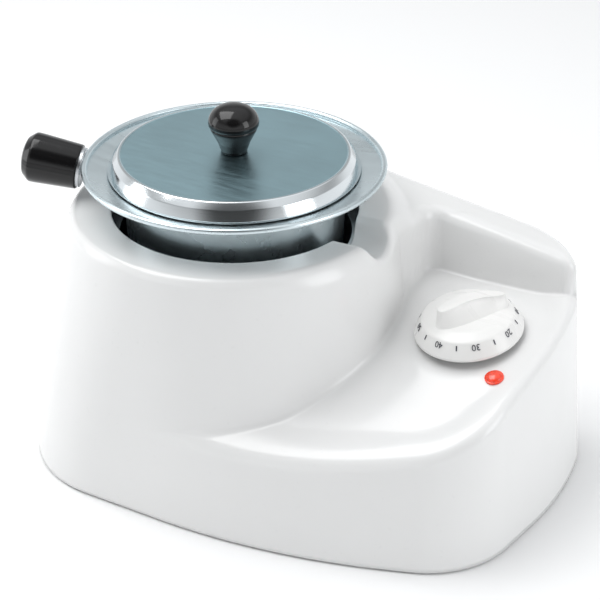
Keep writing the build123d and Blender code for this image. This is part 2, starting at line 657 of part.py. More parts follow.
def handle_bracket():
    inner = POT_R + 0.2
    low = (inner, POT_RIM_Z - 32)
    knee = (inner, POT_RIM_Z - 20)
    end_r = HANDLE_ROOT_R - FERRULE_T * 0.8
    end = (end_r, HANDLE_ROOT_Z - FERRULE_T * sin(radians(HANDLE_RISE)))
    t = STRAP_T
    outside = [(low[0] + t, low[1]), (knee[0] + t, knee[1] - 0.5), (end[0], end[1] - t)]
    strap = make_face(Plane.XZ * Polyline(low, *outside, end, knee, close=True))
    strap = Rot(0, 0, HANDLE_ANGLE) * extrude(strap, STRAP_W / 2, both=True)
    return strap + disc(handle_plane(), HANDLE_R1 - 1.5, -FERRULE_T, 0)


def handle_stud():
    return disc(handle_plane(), STUD_R, 0, HANDLE_LENGTH - 12)


def pot_handle():
    body = turned([
        (0, 0), (HANDLE_R1 - 0.8, 0), (HANDLE_R1, 0.8), (HANDLE_R2, HANDLE_LENGTH - 7),
        (HANDLE_R2 - 0.6, HANDLE_LENGTH - 3.5), (HANDLE_R2 - 3, HANDLE_LENGTH - 0.8),
        (HANDLE_R2 - 6, HANDLE_LENGTH), (0, HANDLE_LENGTH)])
    bore = post(0, 0, STUD_R + RUN_GAP, -1, HANDLE_LENGTH - 11.5)
    return handle_plane() * (body - bore)


def lid():
    t = LID_WALL
    seat = POT_RIM_Z - 2 * BEAD_R - FLANGE_ROOT_Z - 2.2
    slope = seat / (RIM_R - BEAD_R - FLANGE_SEAT_R - 1)
    over_seat = (LID_R - FLANGE_SEAT_R - 0.6) * slope
    edge_z = FLANGE_ROOT_Z + 2.2 + POT_WALL + over_seat + LID_EDGE_GAP + 0.4
    drop = LID_TOP_Z - 1.5 - edge_z
    span = LID_R - LID_TOP_R
    out = [(LID_TOP_R + span * sin(radians(a)), edge_z + drop * cos(radians(a))) for a in (0, 25, 50, 70, 90)]
    ins = [(r - t * (0.35 if k > 1 else 0.1), z - t if k < 4 else z) for k, (r, z) in enumerate(out)]
    ins[-1] = (out[-1][0] - t, out[-1][1])
    top = [(0, LID_TOP_Z), (LID_TOP_R - 1.5, LID_TOP_Z)]
    shell = turned(top + out + ins[::-1] + [(0, LID_TOP_Z - 1.5 - t)])
    return shell - post(0, 0, LID_SCREW_R + 0.1, LID_TOP_Z - 10, LID_TOP_Z + 5)


def lid_knob():
    z = LID_TOP_Z
    r, h, w = LID_KNOB_R, LID_KNOB_H, LID_KNOB_WIDE_H
    neck = LID_KNOB_NECK_R
    profile = [(0, 0), (neck, 0), (neck, h * 0.06), (neck + 1.5, h * 0.24)]
    profile += [(r - 2.6, w * 0.66), (r - 0.6, w * 0.88), (r, w)]
    profile += [(r * cos(radians(a)), w + (h - w) * sin(radians(a))) for a in (25, 45, 62, 78)]
    knob = turned(profile + [(0, h)]) - post(0, 0, LID_SCREW_R - 0.1, -1, 13)
    return Pos(0, 0, z) * knob


def lid_knob_screw():
    under = LID_TOP_Z - 1.5 - LID_WALL - 1
    return post(0, 0, LID_SCREW_R - 0.15, under, LID_TOP_Z + 12) + post(0, 0, 4.5, under - 2.4, under)


def lid_washer():
    under = LID_TOP_Z - 1.5 - LID_WALL
    return ring(7, LID_SCREW_R + 0.1, under - 1, under)


def all_pieces():
    pieces = {
        "housing": housing(), "base_plate": base_plate(), "base_screws": base_screws(),
        "rubber_feet": rubber_feet(), "well_liner": well_liner(), "hotplate": hotplate(),
        "heating_element": heating_element(), "insulation_pad": insulation_pad(),
        "hotplate_carrier": hotplate_carrier(), "carrier_posts": carrier_posts(),
        "carrier_screws": carrier_screws(), "thermal_fuse": thermal_fuse(),
        "thermostat_body": thermostat_body(), "thermostat_screws": thermostat_screws(),
        "thermostat_spindle": thermostat_spindle(), "thermostat_bulb": thermostat_bulb(),
        "capillary_tube": capillary_tube(), "control_knob": control_knob(),
        "knob_spring": knob_spring(), "pilot_lamp_lens": pilot_lamp_lens(),
        "pilot_lamp_body": pilot_lamp_body(), "pilot_lamp_clip": pilot_lamp_clip(),
        "terminal_block": terminal_block(), "terminal_screws": terminal_screws(),
        "earth_screw": earth_screw(), "cord_bush": cord_bush(), "cord_clamp": cord_clamp(),
        "clamp_screws": clamp_screws(), "pot": pot(), "handle_bracket": handle_bracket(),
        "handle_stud": handle_stud(), "pot_handle": pot_handle(), "lid": lid(),
        "lid_knob": lid_knob(), "lid_knob_screw": lid_knob_screw(), "lid_washer": lid_washer(),
    }
    pieces.update(leads())
    for name, piece in pieces.items():
        if isinstance(piece, list):
            pieces[name] = Compound([p.solid() for p in piece])
    return pieces


def main():
    pieces = all_pieces()
    box = Compound([s for p in pieces.values() for s in p.solids()]).bounding_box()
    shift = Pos(-(box.min.X + box.max.X) / 2, -(box.min.Y + box.max.Y) / 2, -box.min.Z)
    print("shift", shift.position)
    os.makedirs("parts", exist_ok=True)
    for name, piece in pieces.items():
        export_step(shift * piece, f"parts/{name}.step")


if __name__ == "__main__":
    main()
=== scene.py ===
import json
import math

import bmesh
import bpy
import numpy as np
from bpy.props import FloatProperty, FloatVectorProperty, PointerProperty
from mathutils import Matrix, Vector


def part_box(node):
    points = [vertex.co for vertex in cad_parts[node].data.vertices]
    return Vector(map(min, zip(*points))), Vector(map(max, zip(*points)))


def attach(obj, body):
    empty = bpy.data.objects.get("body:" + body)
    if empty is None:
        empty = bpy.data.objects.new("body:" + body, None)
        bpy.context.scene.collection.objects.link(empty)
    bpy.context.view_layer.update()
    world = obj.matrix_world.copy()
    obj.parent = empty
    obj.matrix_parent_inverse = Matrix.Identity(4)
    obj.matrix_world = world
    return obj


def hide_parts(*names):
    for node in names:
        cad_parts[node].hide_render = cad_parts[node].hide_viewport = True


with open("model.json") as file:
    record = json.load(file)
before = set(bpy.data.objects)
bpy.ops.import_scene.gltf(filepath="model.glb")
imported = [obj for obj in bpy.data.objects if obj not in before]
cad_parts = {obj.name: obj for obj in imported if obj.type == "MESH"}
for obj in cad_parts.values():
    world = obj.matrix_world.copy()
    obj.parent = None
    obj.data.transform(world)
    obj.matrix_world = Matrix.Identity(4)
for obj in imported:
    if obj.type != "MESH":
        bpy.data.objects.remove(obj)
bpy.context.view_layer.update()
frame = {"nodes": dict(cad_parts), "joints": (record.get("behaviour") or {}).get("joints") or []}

bl_info = {
    "name": "Salon Wax Heater Looks",
    "version": (1, 0, 0),
    "blender": (4, 5, 0),
    "location": "3D View > Sidebar > Wax Heater",
    "description": "Moulded casing, spun pot and lid, dial, lamp and finishes around the packed model",
    "category": "Object",
}

MM = 0.001
TAU = 2.0 * math.pi

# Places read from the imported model, in metres.
POT_LOW, POT_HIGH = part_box("pot")
LID_LOW, LID_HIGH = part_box("lid")
KNOB_LOW, KNOB_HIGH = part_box("lid_knob")
LENS_LOW, LENS_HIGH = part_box("pilot_lamp_lens")
POT_AXIS = Vector(((POT_LOW.x + POT_HIGH.x) / 2, (POT_LOW.y + POT_HIGH.y) / 2, 0.0))
DIAL_JOINT = next(joint for joint in frame["joints"] if joint["name"] == "dial_turn")

# The casing's plan and heights, in millimetres from the pot's axis and the table.
HALF_DEPTH = 105.0
LENGTH_RIGHT = 198.5
HEIGHT = 150.0
RIM_Z = 1.5
LEFT_CORNER_R = 66.0
BOW_START = 10.0
BOW_R = 380.0
BOW_TURN = 20.5
FRONT_CORNER_R = 56.0
END_TURN = 82.0
END_BOW_R = 205.0
END_LEAN = 100.0
END_BELLY_Y = 26.0
BACK_CORNER_R = 52.0
TRAY_TOP_Z = 104.5
TRAY_TOP_Y = 86.6
TRAY_ARC_R = 363.0
TRAY_DISH_R = 700.0
TRAY_DISH_X = 112.0
TRAY_TIP_X = 2.0
RECESS_X = 90.0
RECESS_Y = 67.0
RECESS_R = 10.0
REAR_START_X = 22.0
REAR_FALL = 0.145
WELL_R = 69.5
FUNNEL_R = 86.0
FUNNEL_DROP = 0.6
NOTCH_R = 14.0
NOTCH_Z = 152.0
NOTCH_Y = 4.5
DIAL_X = 140.0
DIAL_Y = 16.0
LIP_R = 1.5
RECESS_LEAN = 0.03
REAR_EDGE_R = 6.0
TOWER_EDGE_R = 4.0
NOTCH_EDGE_R = 4.0
TOWER_BLEND_R = 30.0

# Where the lid's satin disc ends and its polished shoulder begins.
DISC_R = 62.8

# The side handle: its direction round the pot and above level, and where its inner end sits.
HANDLE_TURN = math.radians(202.0)
HANDLE_RISE = math.radians(10.0)
HANDLE_ROOT_R = 88.5
HANDLE_ROOT_Z = 166.2


# ---- surfaces ---------------------------------------------------------------------------------------

def smooth_step(low, high, value):
    """0 below low, 1 above high, and 3t^2 - 2t^3 between them."""
    t = np.clip((value - low) / (high - low), 0.0, 1.0)
    return t * t * (3.0 - 2.0 * t)


def both(a, b, r, c=0.0):
    """Distance to what lies inside a and inside b, their edge rounded to radius r. Past both surfaces
    moved in by r it is the distance to the corner they make there, whose faces' normals have cosine c."""
    a, b = a + r, b + r
    c = np.clip(c, -0.95, 0.999)
    corner = np.sqrt(np.maximum(a * a + b * b - 2.0 * c * a * b, 0.0) / (1.0 - c * c))
    near_corner = (a > c * b) & (b > c * a) & (np.maximum(a, b) > 0.0)
    return np.where(near_corner, corner, np.maximum(a, b)) - r


def either(a, b, r, c=0.0):
    """Distance to what lies inside a or inside b, with the corner between them filled to radius r."""
    return -both(-a, -b, r, c)


def arcs_of_outline():
    """The casing's right-hand plan as tangent arcs: centre, radius and the two directions in which its
    normal starts and ends. Each centre is where the two neighbouring sides, moved in by R, cross."""
    turns = np.radians([-90.0, BOW_TURN - 90.0, END_TURN - 90.0, END_LEAN - 90.0, 90.0])
    normals = np.stack([np.cos(turns), np.sin(turns)], -1)
    bow_corner = np.array([BOW_START + BOW_R * math.tan(math.radians(BOW_TURN / 2)), -HALF_DEPTH])
    end_corner = np.array([LENGTH_RIGHT, END_BELLY_Y])
    through = np.array([bow_corner, bow_corner, end_corner, end_corner, (0.0, HALF_DEPTH)])
    reach = (normals * through).sum(-1)
    arcs = []
    for k, r in enumerate((BOW_R, FRONT_CORNER_R, END_BOW_R, BACK_CORNER_R)):
        centre = np.linalg.solve(normals[k:k + 2], reach[k:k + 2] - r)
        arcs.append((centre, r, turns[k], turns[k + 1]))
    return arcs


OUTLINE_ARCS = arcs_of_outline()


def outline_distance(x, y):
    """Distance outside the casing's right-hand plan at the table: the greatest, over the arcs, of the
    distance past the arc's tangent whose normal points nearest to the place."""
    best = np.full(np.shape(x), -1e3)
    for (cx, cy), r, start, end in OUTLINE_ARCS:
        middle = (start + end) / 2
        away = np.arctan2(y - cy, x - cx) - middle
        away = (away + math.pi) % TAU - math.pi
        turn = middle + np.clip(away, start - middle, end - middle)
        best = np.maximum(best, (x - cx) * np.cos(turn) + (y - cy) * np.sin(turn) - r)
    return best


def tray_height(x, y):
    """Height of the tray: an arc from front to back, hollowed along another arc from side to side."""
    crown = TRAY_TOP_Z - TRAY_ARC_R + np.sqrt(TRAY_ARC_R ** 2 - (y - TRAY_TOP_Y) ** 2)
    top = TRAY_TOP_Z + TRAY_DISH_R
    return top - np.sqrt((top - crown) ** 2 - (x - TRAY_DISH_X) ** 2)


class CasingForm:
    """The casing as a signed distance: the drafted outline, cut by the top surface, which is the tray
    joined to the raised tower and rear wall, less the groove in the tower's rim."""

    NONE = 0.01     # a radius too small to show, where an edge stays sharp

    def __init__(self, sizes):
        self.draft = math.tan(sizes.draft)
        self.crest = sizes.crest_radius / MM
        self.foot = sizes.foot_radius / MM
        self.roll = sizes.tray_roll / MM

    def plan(self, x, y):
        """What depends on the plan only, once for each place."""
        outline = outline_distance(x, y)
        reach = np.hypot(x, y)
        step = 0.05
        gx = outline_distance(x + step, y) - outline
        gy = outline_distance(x, y + step) - outline
        alike = (gx * x + gy * y) / (np.maximum(np.hypot(gx, gy), 1e-9) * np.maximum(reach, 1e-9))
        return x, y, outline, reach, alike

    def wall(self, x, y, outline, z):
        """Distance outside the drafted outer wall. Its left end has corners whose radius grows with height
        until they make a half circle."""
        inset = z * self.draft
        half = HALF_DEPTH - inset
        full = HALF_DEPTH - HEIGHT * self.draft
        radius = LEFT_CORNER_R + z / HEIGHT * (full - LEFT_CORNER_R)
        left = both(-x - half, np.abs(y) - half, np.minimum(radius, half))
        return np.where(x < 0.0, left, outline + inset)

    def __call__(self, place, z):
        """Distances past the raised level, the tray's level and the outer wall."""
        x, y, outline, reach, alike = place
        wall = self.wall(x, y, outline, z)
        tower = reach - (HALF_DEPTH - z * self.draft)
        lean = (z - 95.0) * RECESS_LEAN
        recess = either(RECESS_Y - y + lean, x - RECESS_X + lean, RECESS_R)
        kept = np.maximum(recess, np.minimum(NOTCH_Y - y, x - TRAY_TIP_X))
        rear = both(wall, kept, REAR_EDGE_R, -0.17)
        tower = both(wall, tower, TOWER_EDGE_R, alike)
        # Where the recess meets the tower the corner is widely filled, and nowhere else.
        blend = TOWER_BLEND_R * smooth_step(50.0, 78.0, x) * smooth_step(66.0, 46.0, y)
        blend = blend * smooth_step(0.0, 8.0, y)
        facing = np.clip(x / np.maximum(reach, 1.0), 0.0, 0.99)
        shoulder = either(rear, tower, np.maximum(blend, self.NONE), facing)
        rear_top = HEIGHT - REAR_FALL * np.maximum(x - REAR_START_X, 0.0)
        outside = smooth_step(-7.0, 9.0, reach - 92.0)
        dip = FUNNEL_DROP * smooth_step(FUNNEL_R, WELL_R, reach)
        top = HEIGHT + (rear_top - HEIGHT) * outside - dip
        crest = self.crest + 2.5 * outside
        high = both(shoulder, z - top, crest)
        far_from_dial = smooth_step(34.0, 52.0, np.hypot(x - DIAL_X, y - DIAL_Y))
        hollow = self.roll * smooth_step(6.0, 22.0, -wall) * smooth_step(20.0, 90.0, x) * far_from_dial
        low = both(wall, z - tray_height(x, y) + hollow, self.crest + 0.5)
        return high, low, wall

    def distance(self, place, z):
        """The two levels joined with a filled foot, and the groove cut with a rounded lip. The foot's
        filling fades where both levels share the outer wall."""
        high, low, wall = self(place, z)
        x, y = place[0], place[1]
        fill = self.foot * smooth_step(0.5, 5.0, -wall) * smooth_step(4.0, 40.0, x)
        solid = either(high, low, np.maximum(fill, self.NONE))
        groove = np.where(x > 0.0, NOTCH_R - np.hypot(y - NOTCH_Y, z - NOTCH_Z), -50.0)
        return both(solid, groove, NOTCH_EDGE_R)


def casing_rows(form, rows, columns):
    """The casing's outer skin: for each direction round the pot's axis, a line from the well's edge out
    and down to the bottom rim. Heights come from halving, rows from arc length plus turning, and three
    steps along the gradient set each point on the surface."""
    fine = np.linspace(0.0, TAU, 7200, endpoint=False)
    nearest, farthest = 90.0, 260.0
    low, high = np.full(fine.shape, nearest), np.full(fine.shape, farthest)
    for _ in range(30):
        middle = (low + high) / 2
        x, y = middle * np.cos(fine), middle * np.sin(fine)
        inside = form.wall(x, y, outline_distance(x, y), np.full(x.shape, RIM_Z)) < 0.0
        low, high = np.where(inside, middle, low), np.where(inside, high, middle)
    edge = np.stack([low * np.cos(fine), low * np.sin(fine)], -1)
    weight = np.linalg.norm(np.roll(edge, -1, 0) - edge, axis=1)
    degrees = np.degrees(fine)
    # Columns stand closer together at the recess corners, the groove and the front corner.
    for centre, spread, gain in ((19.0, 4.0, 2.2), (36.0, 4.0, 2.2), (6.0, 14.0, 0.5), (298.0, 14.0, 0.4)):
        away = (degrees - centre + 180.0) % 360.0 - 180.0
        weight *= 1.0 + gain * np.exp(-(away / spread) ** 2)
    share = np.concatenate([[0.0], np.cumsum(weight)])
    share /= share[-1]
    wanted = np.linspace(0.0, 1.0, columns, endpoint=False)
    angle = np.interp(wanted, share, np.append(fine, TAU))
    reach = np.interp(angle, np.append(fine, TAU), np.append(low, low[0]))

    samples = 900
    t = np.linspace(0.0, 1.0, samples)[:, None]
    radius = WELL_R + LIP_R + (reach - WELL_R - LIP_R) * t
    x, y = radius * np.cos(angle), radius * np.sin(angle)
    place = form.plan(x, y)
    low, high = np.full(x.shape, RIM_Z), np.full(x.shape, HEIGHT + 3.0)
    for _ in range(24):
        middle = (low + high) / 2
        inside = form.distance(place, middle) < 0.0
        low, high = np.where(inside, middle, low), np.where(inside, high, middle)
    z = low
    z[-1] = RIM_Z

    ds = np.hypot(np.diff(radius, axis=0), np.diff(z, axis=0))
    slope = np.arctan2(np.diff(z, axis=0), np.diff(radius, axis=0))
    turning = np.abs(np.diff(slope, axis=0, prepend=slope[:1]))
    turning_weight = 15.0
    measure = np.concatenate([np.zeros((1, columns)), np.cumsum(ds + turning_weight * turning, 0)])
    measure /= measure[-1]
    # Neighbouring columns share a softened measure, so that rows run on smoothly past a corner.
    window = np.arange(-9, 10)
    spread = np.exp(-(window / 4.0) ** 2)
    measure = sum(w * np.roll(measure, k, 1) for k, w in zip(window, spread / spread.sum()))
    picked = np.empty((rows, columns, 3))
    at = np.linspace(0.0, 1.0, rows)
    for k in range(columns):
        place_at = np.interp(at, measure[:, k], radius[:, k])
        picked[:, k, 0] = place_at * math.cos(angle[k])
        picked[:, k, 1] = place_at * math.sin(angle[k])
        picked[:, k, 2] = np.interp(place_at, radius[:, k], z[:, k])
    p = picked[1:-1]
    step = 0.02
    for _ in range(3):
        here = form.distance(form.plan(p[..., 0], p[..., 1]), p[..., 2])
        slopes = []
        for axis in range(3):
            moved = p.copy()
            moved[..., axis] += step
            there = form.distance(form.plan(moved[..., 0], moved[..., 1]), moved[..., 2])
            slopes.append((there - here) / step)
        gradient = np.stack(slopes, -1)
        steepness = np.maximum((gradient ** 2).sum(-1), 0.25)
        p -= gradient * np.clip(here / steepness, -0.6, 0.6)[..., None]
    picked[1:-1] = p
    return picked, angle


def grid_faces(rows, columns):
    """Vertex numbers of the quads of a grid stored row by row, its last column joined to its first."""
    row, col = np.meshgrid(np.arange(rows - 1), np.arange(columns), indexing="ij")
    nxt = (col + 1) % columns
    quads = np.stack([row * columns + col, row * columns + nxt, (row + 1) * columns + nxt,
                      (row + 1) * columns + col], -1)
    return quads.reshape(-1, 4)


def new_piece(name, parts, turn_out=True):
    """A smooth-shaded mesh object from (points, faces) pairs in metres. Poles that share a place are
    merged, and closed shells are turned to face outwards."""
    count = 0
    points, faces = [], []
    for part_points, part_faces in parts:
        points.append(part_points.reshape(-1, 3))
        faces += (part_faces + count).tolist()
        count += len(points[-1])
    mesh = bpy.data.meshes.new(name)
    mesh.from_pydata(np.concatenate(points).tolist(), [], faces)
    work = bmesh.new()
    work.from_mesh(mesh)
    bmesh.ops.remove_doubles(work, verts=work.verts, dist=2e-6)
    bmesh.ops.dissolve_degenerate(work, edges=work.edges, dist=1e-6)
    if turn_out:
        bmesh.ops.recalc_face_normals(work, faces=work.faces)
    work.to_mesh(mesh)
    work.free()
    mesh.validate()
    mesh.shade_smooth()
    piece = bpy.data.objects.new(name, mesh)
    bpy.context.scene.collection.objects.link(piece)
    return piece


def rounded(corners, steps=6):
    """A profile from (radius, height, corner rounding) triples: each corner becomes the arc that is
    tangent to both its sides."""
    points = np.array([c[:2] for c in corners], float)
    out = [points[0]]
    for k in range(1, len(points) - 1):
        before, here, after = points[k - 1], points[k], points[k + 1]
        a, b = before - here, after - here
        la, lb = np.linalg.norm(a), np.linalg.norm(b)
        a, b = a / la, b / lb
        half = math.acos(float(np.clip(a @ b, -1.0, 1.0))) / 2
        r = corners[k][2]
        if r <= 0.0 or half > math.pi / 2 - 1e-3:
            out.append(here)
            continue
        cut = min(r / math.tan(half), 0.49 * la, 0.49 * lb)
        r = cut * math.tan(half)
        centre = here + (a + b) / np.linalg.norm(a + b) * r / math.sin(half)
        start, end = here + a * cut - centre, here + b * cut - centre
        sweep = math.atan2(start[0] * end[1] - start[1] * end[0], start @ end)
        turn = np.linspace(0.0, sweep, steps + 1)
        out += [centre + (start[0] * math.cos(t) - start[1] * math.sin(t),
                          start[0] * math.sin(t) + start[1] * math.cos(t)) for t in turn]
    out.append(points[-1])
    return np.array(out)


def flowing(points, steps=6):
    """A curve through the points with Catmull-Rom pieces, whose tangents are half the chord between a
    point's two neighbours."""
    p = np.array(points, float)
    p = np.concatenate([2 * p[:1] - p[1:2], p, 2 * p[-1:] - p[-2:-1]])
    t = np.linspace(0.0, 1.0, steps, endpoint=False)[:, None]
    a, b, c, d = p[:-3, None], p[1:-2, None], p[2:-1, None], p[3:, None]
    curve = 0.5 * (2 * b + (c - a) * t + (2 * a - 5 * b + 4 * c - d) * t ** 2
                   + (3 * b - a - 3 * c + d) * t ** 3)
    return np.concatenate([curve.reshape(-1, p.shape[1]), p[-2:-1]])


def looped(points, count):
    """A closed curve through the points: the same pieces, wrapped round, at evenly spaced places."""
    p = np.array(points, float)
    wrapped = np.concatenate([p[-2:], p, p[:3]])
    steps = 24
    curve = flowing(wrapped, steps)[steps * 2:steps * (len(p) + 2) + 1]
    run = np.concatenate([[0.0], np.cumsum(np.linalg.norm(np.diff(curve, axis=0), axis=1))])
    at = np.linspace(0.0, run[-1], count, endpoint=False)
    return np.stack([np.interp(at, run, curve[:, k]) for k in range(curve.shape[1])], -1)


def lathe(profile, columns, frame_matrix, ripple=None):
    """A profile of (radius, height) in millimetres turned about an axis: x = r cos a, y = r sin a, then
    set on the axis by the matrix. A ripple adds to the radius as a function of angle and height."""
    angle = np.linspace(0.0, TAU, columns, endpoint=False)
    r = np.repeat(profile[:, :1], columns, 1)
    if ripple is not None:
        r = r + np.where(r > 1.0, ripple(angle[None, :], profile[:, 1:2]), 0.0)
    height = np.repeat(profile[:, 1:2], columns, 1)
    local = np.stack([r * np.cos(angle), r * np.sin(angle), height], -1) * MM
    return placed(local, frame_matrix), grid_faces(len(profile), columns)


def placed(local, matrix):
    """Local metres carried into the shared frame by a matrix."""
    m = np.array(matrix)
    return local.reshape(-1, 3) @ m[:3, :3].T + m[:3, 3]


def upright(height):
    """The frame on the pot's axis with its origin at a height in millimetres."""
    return Matrix.Translation(POT_AXIS + Vector((0.0, 0.0, height * MM)))


def along(origin, direction):
    """A frame at a place, its third axis along a direction and its first level."""
    z = Vector(direction).normalized()
    steep = abs(z.z) > 0.7
    x = Vector((1.0, 0.0, -z.x / z.z)) if steep else Vector((0.0, 0.0, 1.0)).cross(z)
    x.normalize()
    y = z.cross(x)
    turned = Matrix((x, y, z)).transposed().to_4x4()
    turned.translation = Vector(origin)
    return turned


DIAL_FRAME = along(DIAL_JOINT["pos_m"], DIAL_JOINT["axis"])
HANDLE_OUT = Vector((math.cos(HANDLE_TURN), math.sin(HANDLE_TURN), 0.0))
HANDLE_FRAME = along(POT_AXIS + HANDLE_OUT * HANDLE_ROOT_R * MM + Vector((0.0, 0.0, HANDLE_ROOT_Z * MM)),
                     HANDLE_OUT * math.cos(HANDLE_RISE) + Vector((0.0, 0.0, math.sin(HANDLE_RISE))))


# ---- shader node groups -----------------------------------------------------------------------------

def new_group(name, inputs, outputs):
    """An empty shader node group with (name, kind, default) inputs and (name, kind) outputs."""
    group = bpy.data.node_groups.new(name, "ShaderNodeTree")
    for label, kind, default in inputs:
        socket = group.interface.new_socket(name=label, in_out="INPUT", socket_type="NodeSocket" + kind)
        if default is not None:
            socket.default_value = default
    for label, kind in outputs:
        group.interface.new_socket(name=label, in_out="OUTPUT", socket_type="NodeSocket" + kind)
    return group, group.nodes.new("NodeGroupInput"), group.nodes.new("NodeGroupOutput")


def join(tree, node, links):
    """Each named or numbered input linked to a socket or set to a value."""
    for key, value in links.items():
        if isinstance(value, bpy.types.NodeSocket):
            tree.links.new(value, node.inputs[key])
        else:
            node.inputs[key].default_value = value


def put(tree, kind, links=None, **settings):
    """A node with its settings and inputs."""
    node = tree.nodes.new("ShaderNode" + kind)
    for key, value in settings.items():
        setattr(node, key, value)
    join(tree, node, links or {})
    return node


def sums(tree, operation, a, b=0.0):
    """The value of a Math node."""
    return put(tree, "Math", {0: a, 1: b}, operation=operation).outputs[0]


def grain_group():
    """Fine irregular relief: two noises, the finer at four times the scale and a third of the weight."""
    group, given, result = new_group("Fine Grain", [("Vector", "Vector", None), ("Scale", "Float", 900.0)],
                                     [("Height", "Float")])
    coarse = put(group, "TexNoise", {"Vector": given.outputs["Vector"], "Scale": given.outputs["Scale"],
                                     "Detail": 3.0, "Roughness": 0.5})
    finer_scale = sums(group, "MULTIPLY", given.outputs["Scale"], 4.0)
    finer = put(group, "TexNoise", {"Vector": given.outputs["Vector"], "Scale": finer_scale, "Detail": 2.0})
    third = sums(group, "MULTIPLY", finer.outputs[0], 0.33)
    group.links.new(sums(group, "ADD", coarse.outputs[0], third), result.inputs["Height"])
    return group


def smudge_group():
    """Handling marks: broad soft patches times streaks drawn out along one way, as a roughness between
    two values."""
    group, given, result = new_group(
        "Handling Marks", [("Vector", "Vector", None), ("Scale", "Float", 18.0), ("Clean", "Float", 0.2),
                           ("Smudged", "Float", 0.35)], [("Roughness", "Float")])
    patches = put(group, "TexNoise", {"Vector": given.outputs["Vector"], "Scale": given.outputs["Scale"],
                                      "Detail": 5.0, "Roughness": 0.62})
    stretched = put(group, "Mapping", {"Vector": given.outputs["Vector"], "Scale": (1.0, 7.0, 3.0)})
    streak_scale = sums(group, "MULTIPLY", given.outputs["Scale"], 3.0)
    streaks = put(group, "TexNoise", {"Vector": stretched.outputs[0], "Scale": streak_scale, "Detail": 3.0})
    product = sums(group, "MULTIPLY", patches.outputs[0], streaks.outputs[0])
    mask = put(group, "MapRange", {"Value": product, "From Min": 0.16, "From Max": 0.36}).outputs[0]
    spread = put(group, "MapRange", {"Value": mask, "To Min": given.outputs["Clean"],
                                     "To Max": given.outputs["Smudged"]}).outputs[0]
    group.links.new(spread, result.inputs["Roughness"])
    return group


def rings_group():
    """Turning marks: noise read along the distance from the axis only, so that every mark is a ring
    round the local Z axis."""
    group, given, result = new_group(
        "Turning Marks", [("Vector", "Vector", None), ("Spacing", "Float", 1500.0)], [("Height", "Float")])
    parts = put(group, "SeparateXYZ", {0: given.outputs["Vector"]})
    square = sums(group, "ADD", sums(group, "MULTIPLY", parts.outputs[0], parts.outputs[0]),
                  sums(group, "MULTIPLY", parts.outputs[1], parts.outputs[1]))
    reach = sums(group, "SQRT", square)
    scaled = sums(group, "MULTIPLY", reach, given.outputs["Spacing"])
    level = sums(group, "MULTIPLY", parts.outputs[2], given.outputs["Spacing"])
    line = put(group, "CombineXYZ", {0: scaled, 2: level})
    marks = put(group, "TexNoise", {"Vector": line.outputs[0], "Scale": 1.0, "Detail": 4.0, "Roughness": 0.7})
    group.links.new(marks.outputs[0], result.inputs["Height"])
    return group


def tint_group():
    """Colour that drifts between two shades in soft patches, with sparse dust specks of a third."""
    white = (1.0, 1.0, 1.0, 1.0)
    group, given, result = new_group(
        "Uneven Colour", [("Vector", "Vector", None), ("Scale", "Float", 9.0), ("First", "Color", white),
                          ("Second", "Color", white), ("Speck", "Color", (0.6, 0.6, 0.58, 1.0)),
                          ("Specks", "Float", 0.3)], [("Color", "Color")])
    drift = put(group, "TexNoise", {"Vector": given.outputs["Vector"], "Scale": given.outputs["Scale"],
                                    "Detail": 4.0, "Roughness": 0.55})
    soft = put(group, "MapRange", {"Value": drift.outputs[0], "From Min": 0.32, "From Max": 0.68}).outputs[0]
    mixed = put(group, "Mix", {"Factor": soft, 6: given.outputs["First"], 7: given.outputs["Second"]},
                data_type="RGBA")
    dust_scale = sums(group, "MULTIPLY", given.outputs["Scale"], 70.0)
    dust = put(group, "TexNoise", {"Vector": given.outputs["Vector"], "Scale": dust_scale, "Detail": 1.0})
    spot = put(group, "MapRange", {"Value": dust.outputs[0], "From Min": 0.70, "From Max": 0.78}).outputs[0]
    amount = sums(group, "MULTIPLY", spot, given.outputs["Specks"])
    speckled = put(group, "Mix", {"Factor": amount, 6: mixed.outputs[2], 7: given.outputs["Speck"]},
                   data_type="RGBA")
    group.links.new(speckled.outputs[2], result.inputs["Color"])
    return group


GROUPS = {}


def placed_group(tree, maker, links):
    """A shared group inside a material, built at its first use."""
    if maker not in GROUPS:
        GROUPS[maker] = maker()
    node = tree.nodes.new("ShaderNodeGroup")
    node.node_tree = GROUPS[maker]
    join(tree, node, links)
    return node


def shade(colour, factor, alpha=1.0):
    """A colour times a factor, with its alpha."""
    return (colour[0] * factor, colour[1] * factor, colour[2] * factor, alpha)


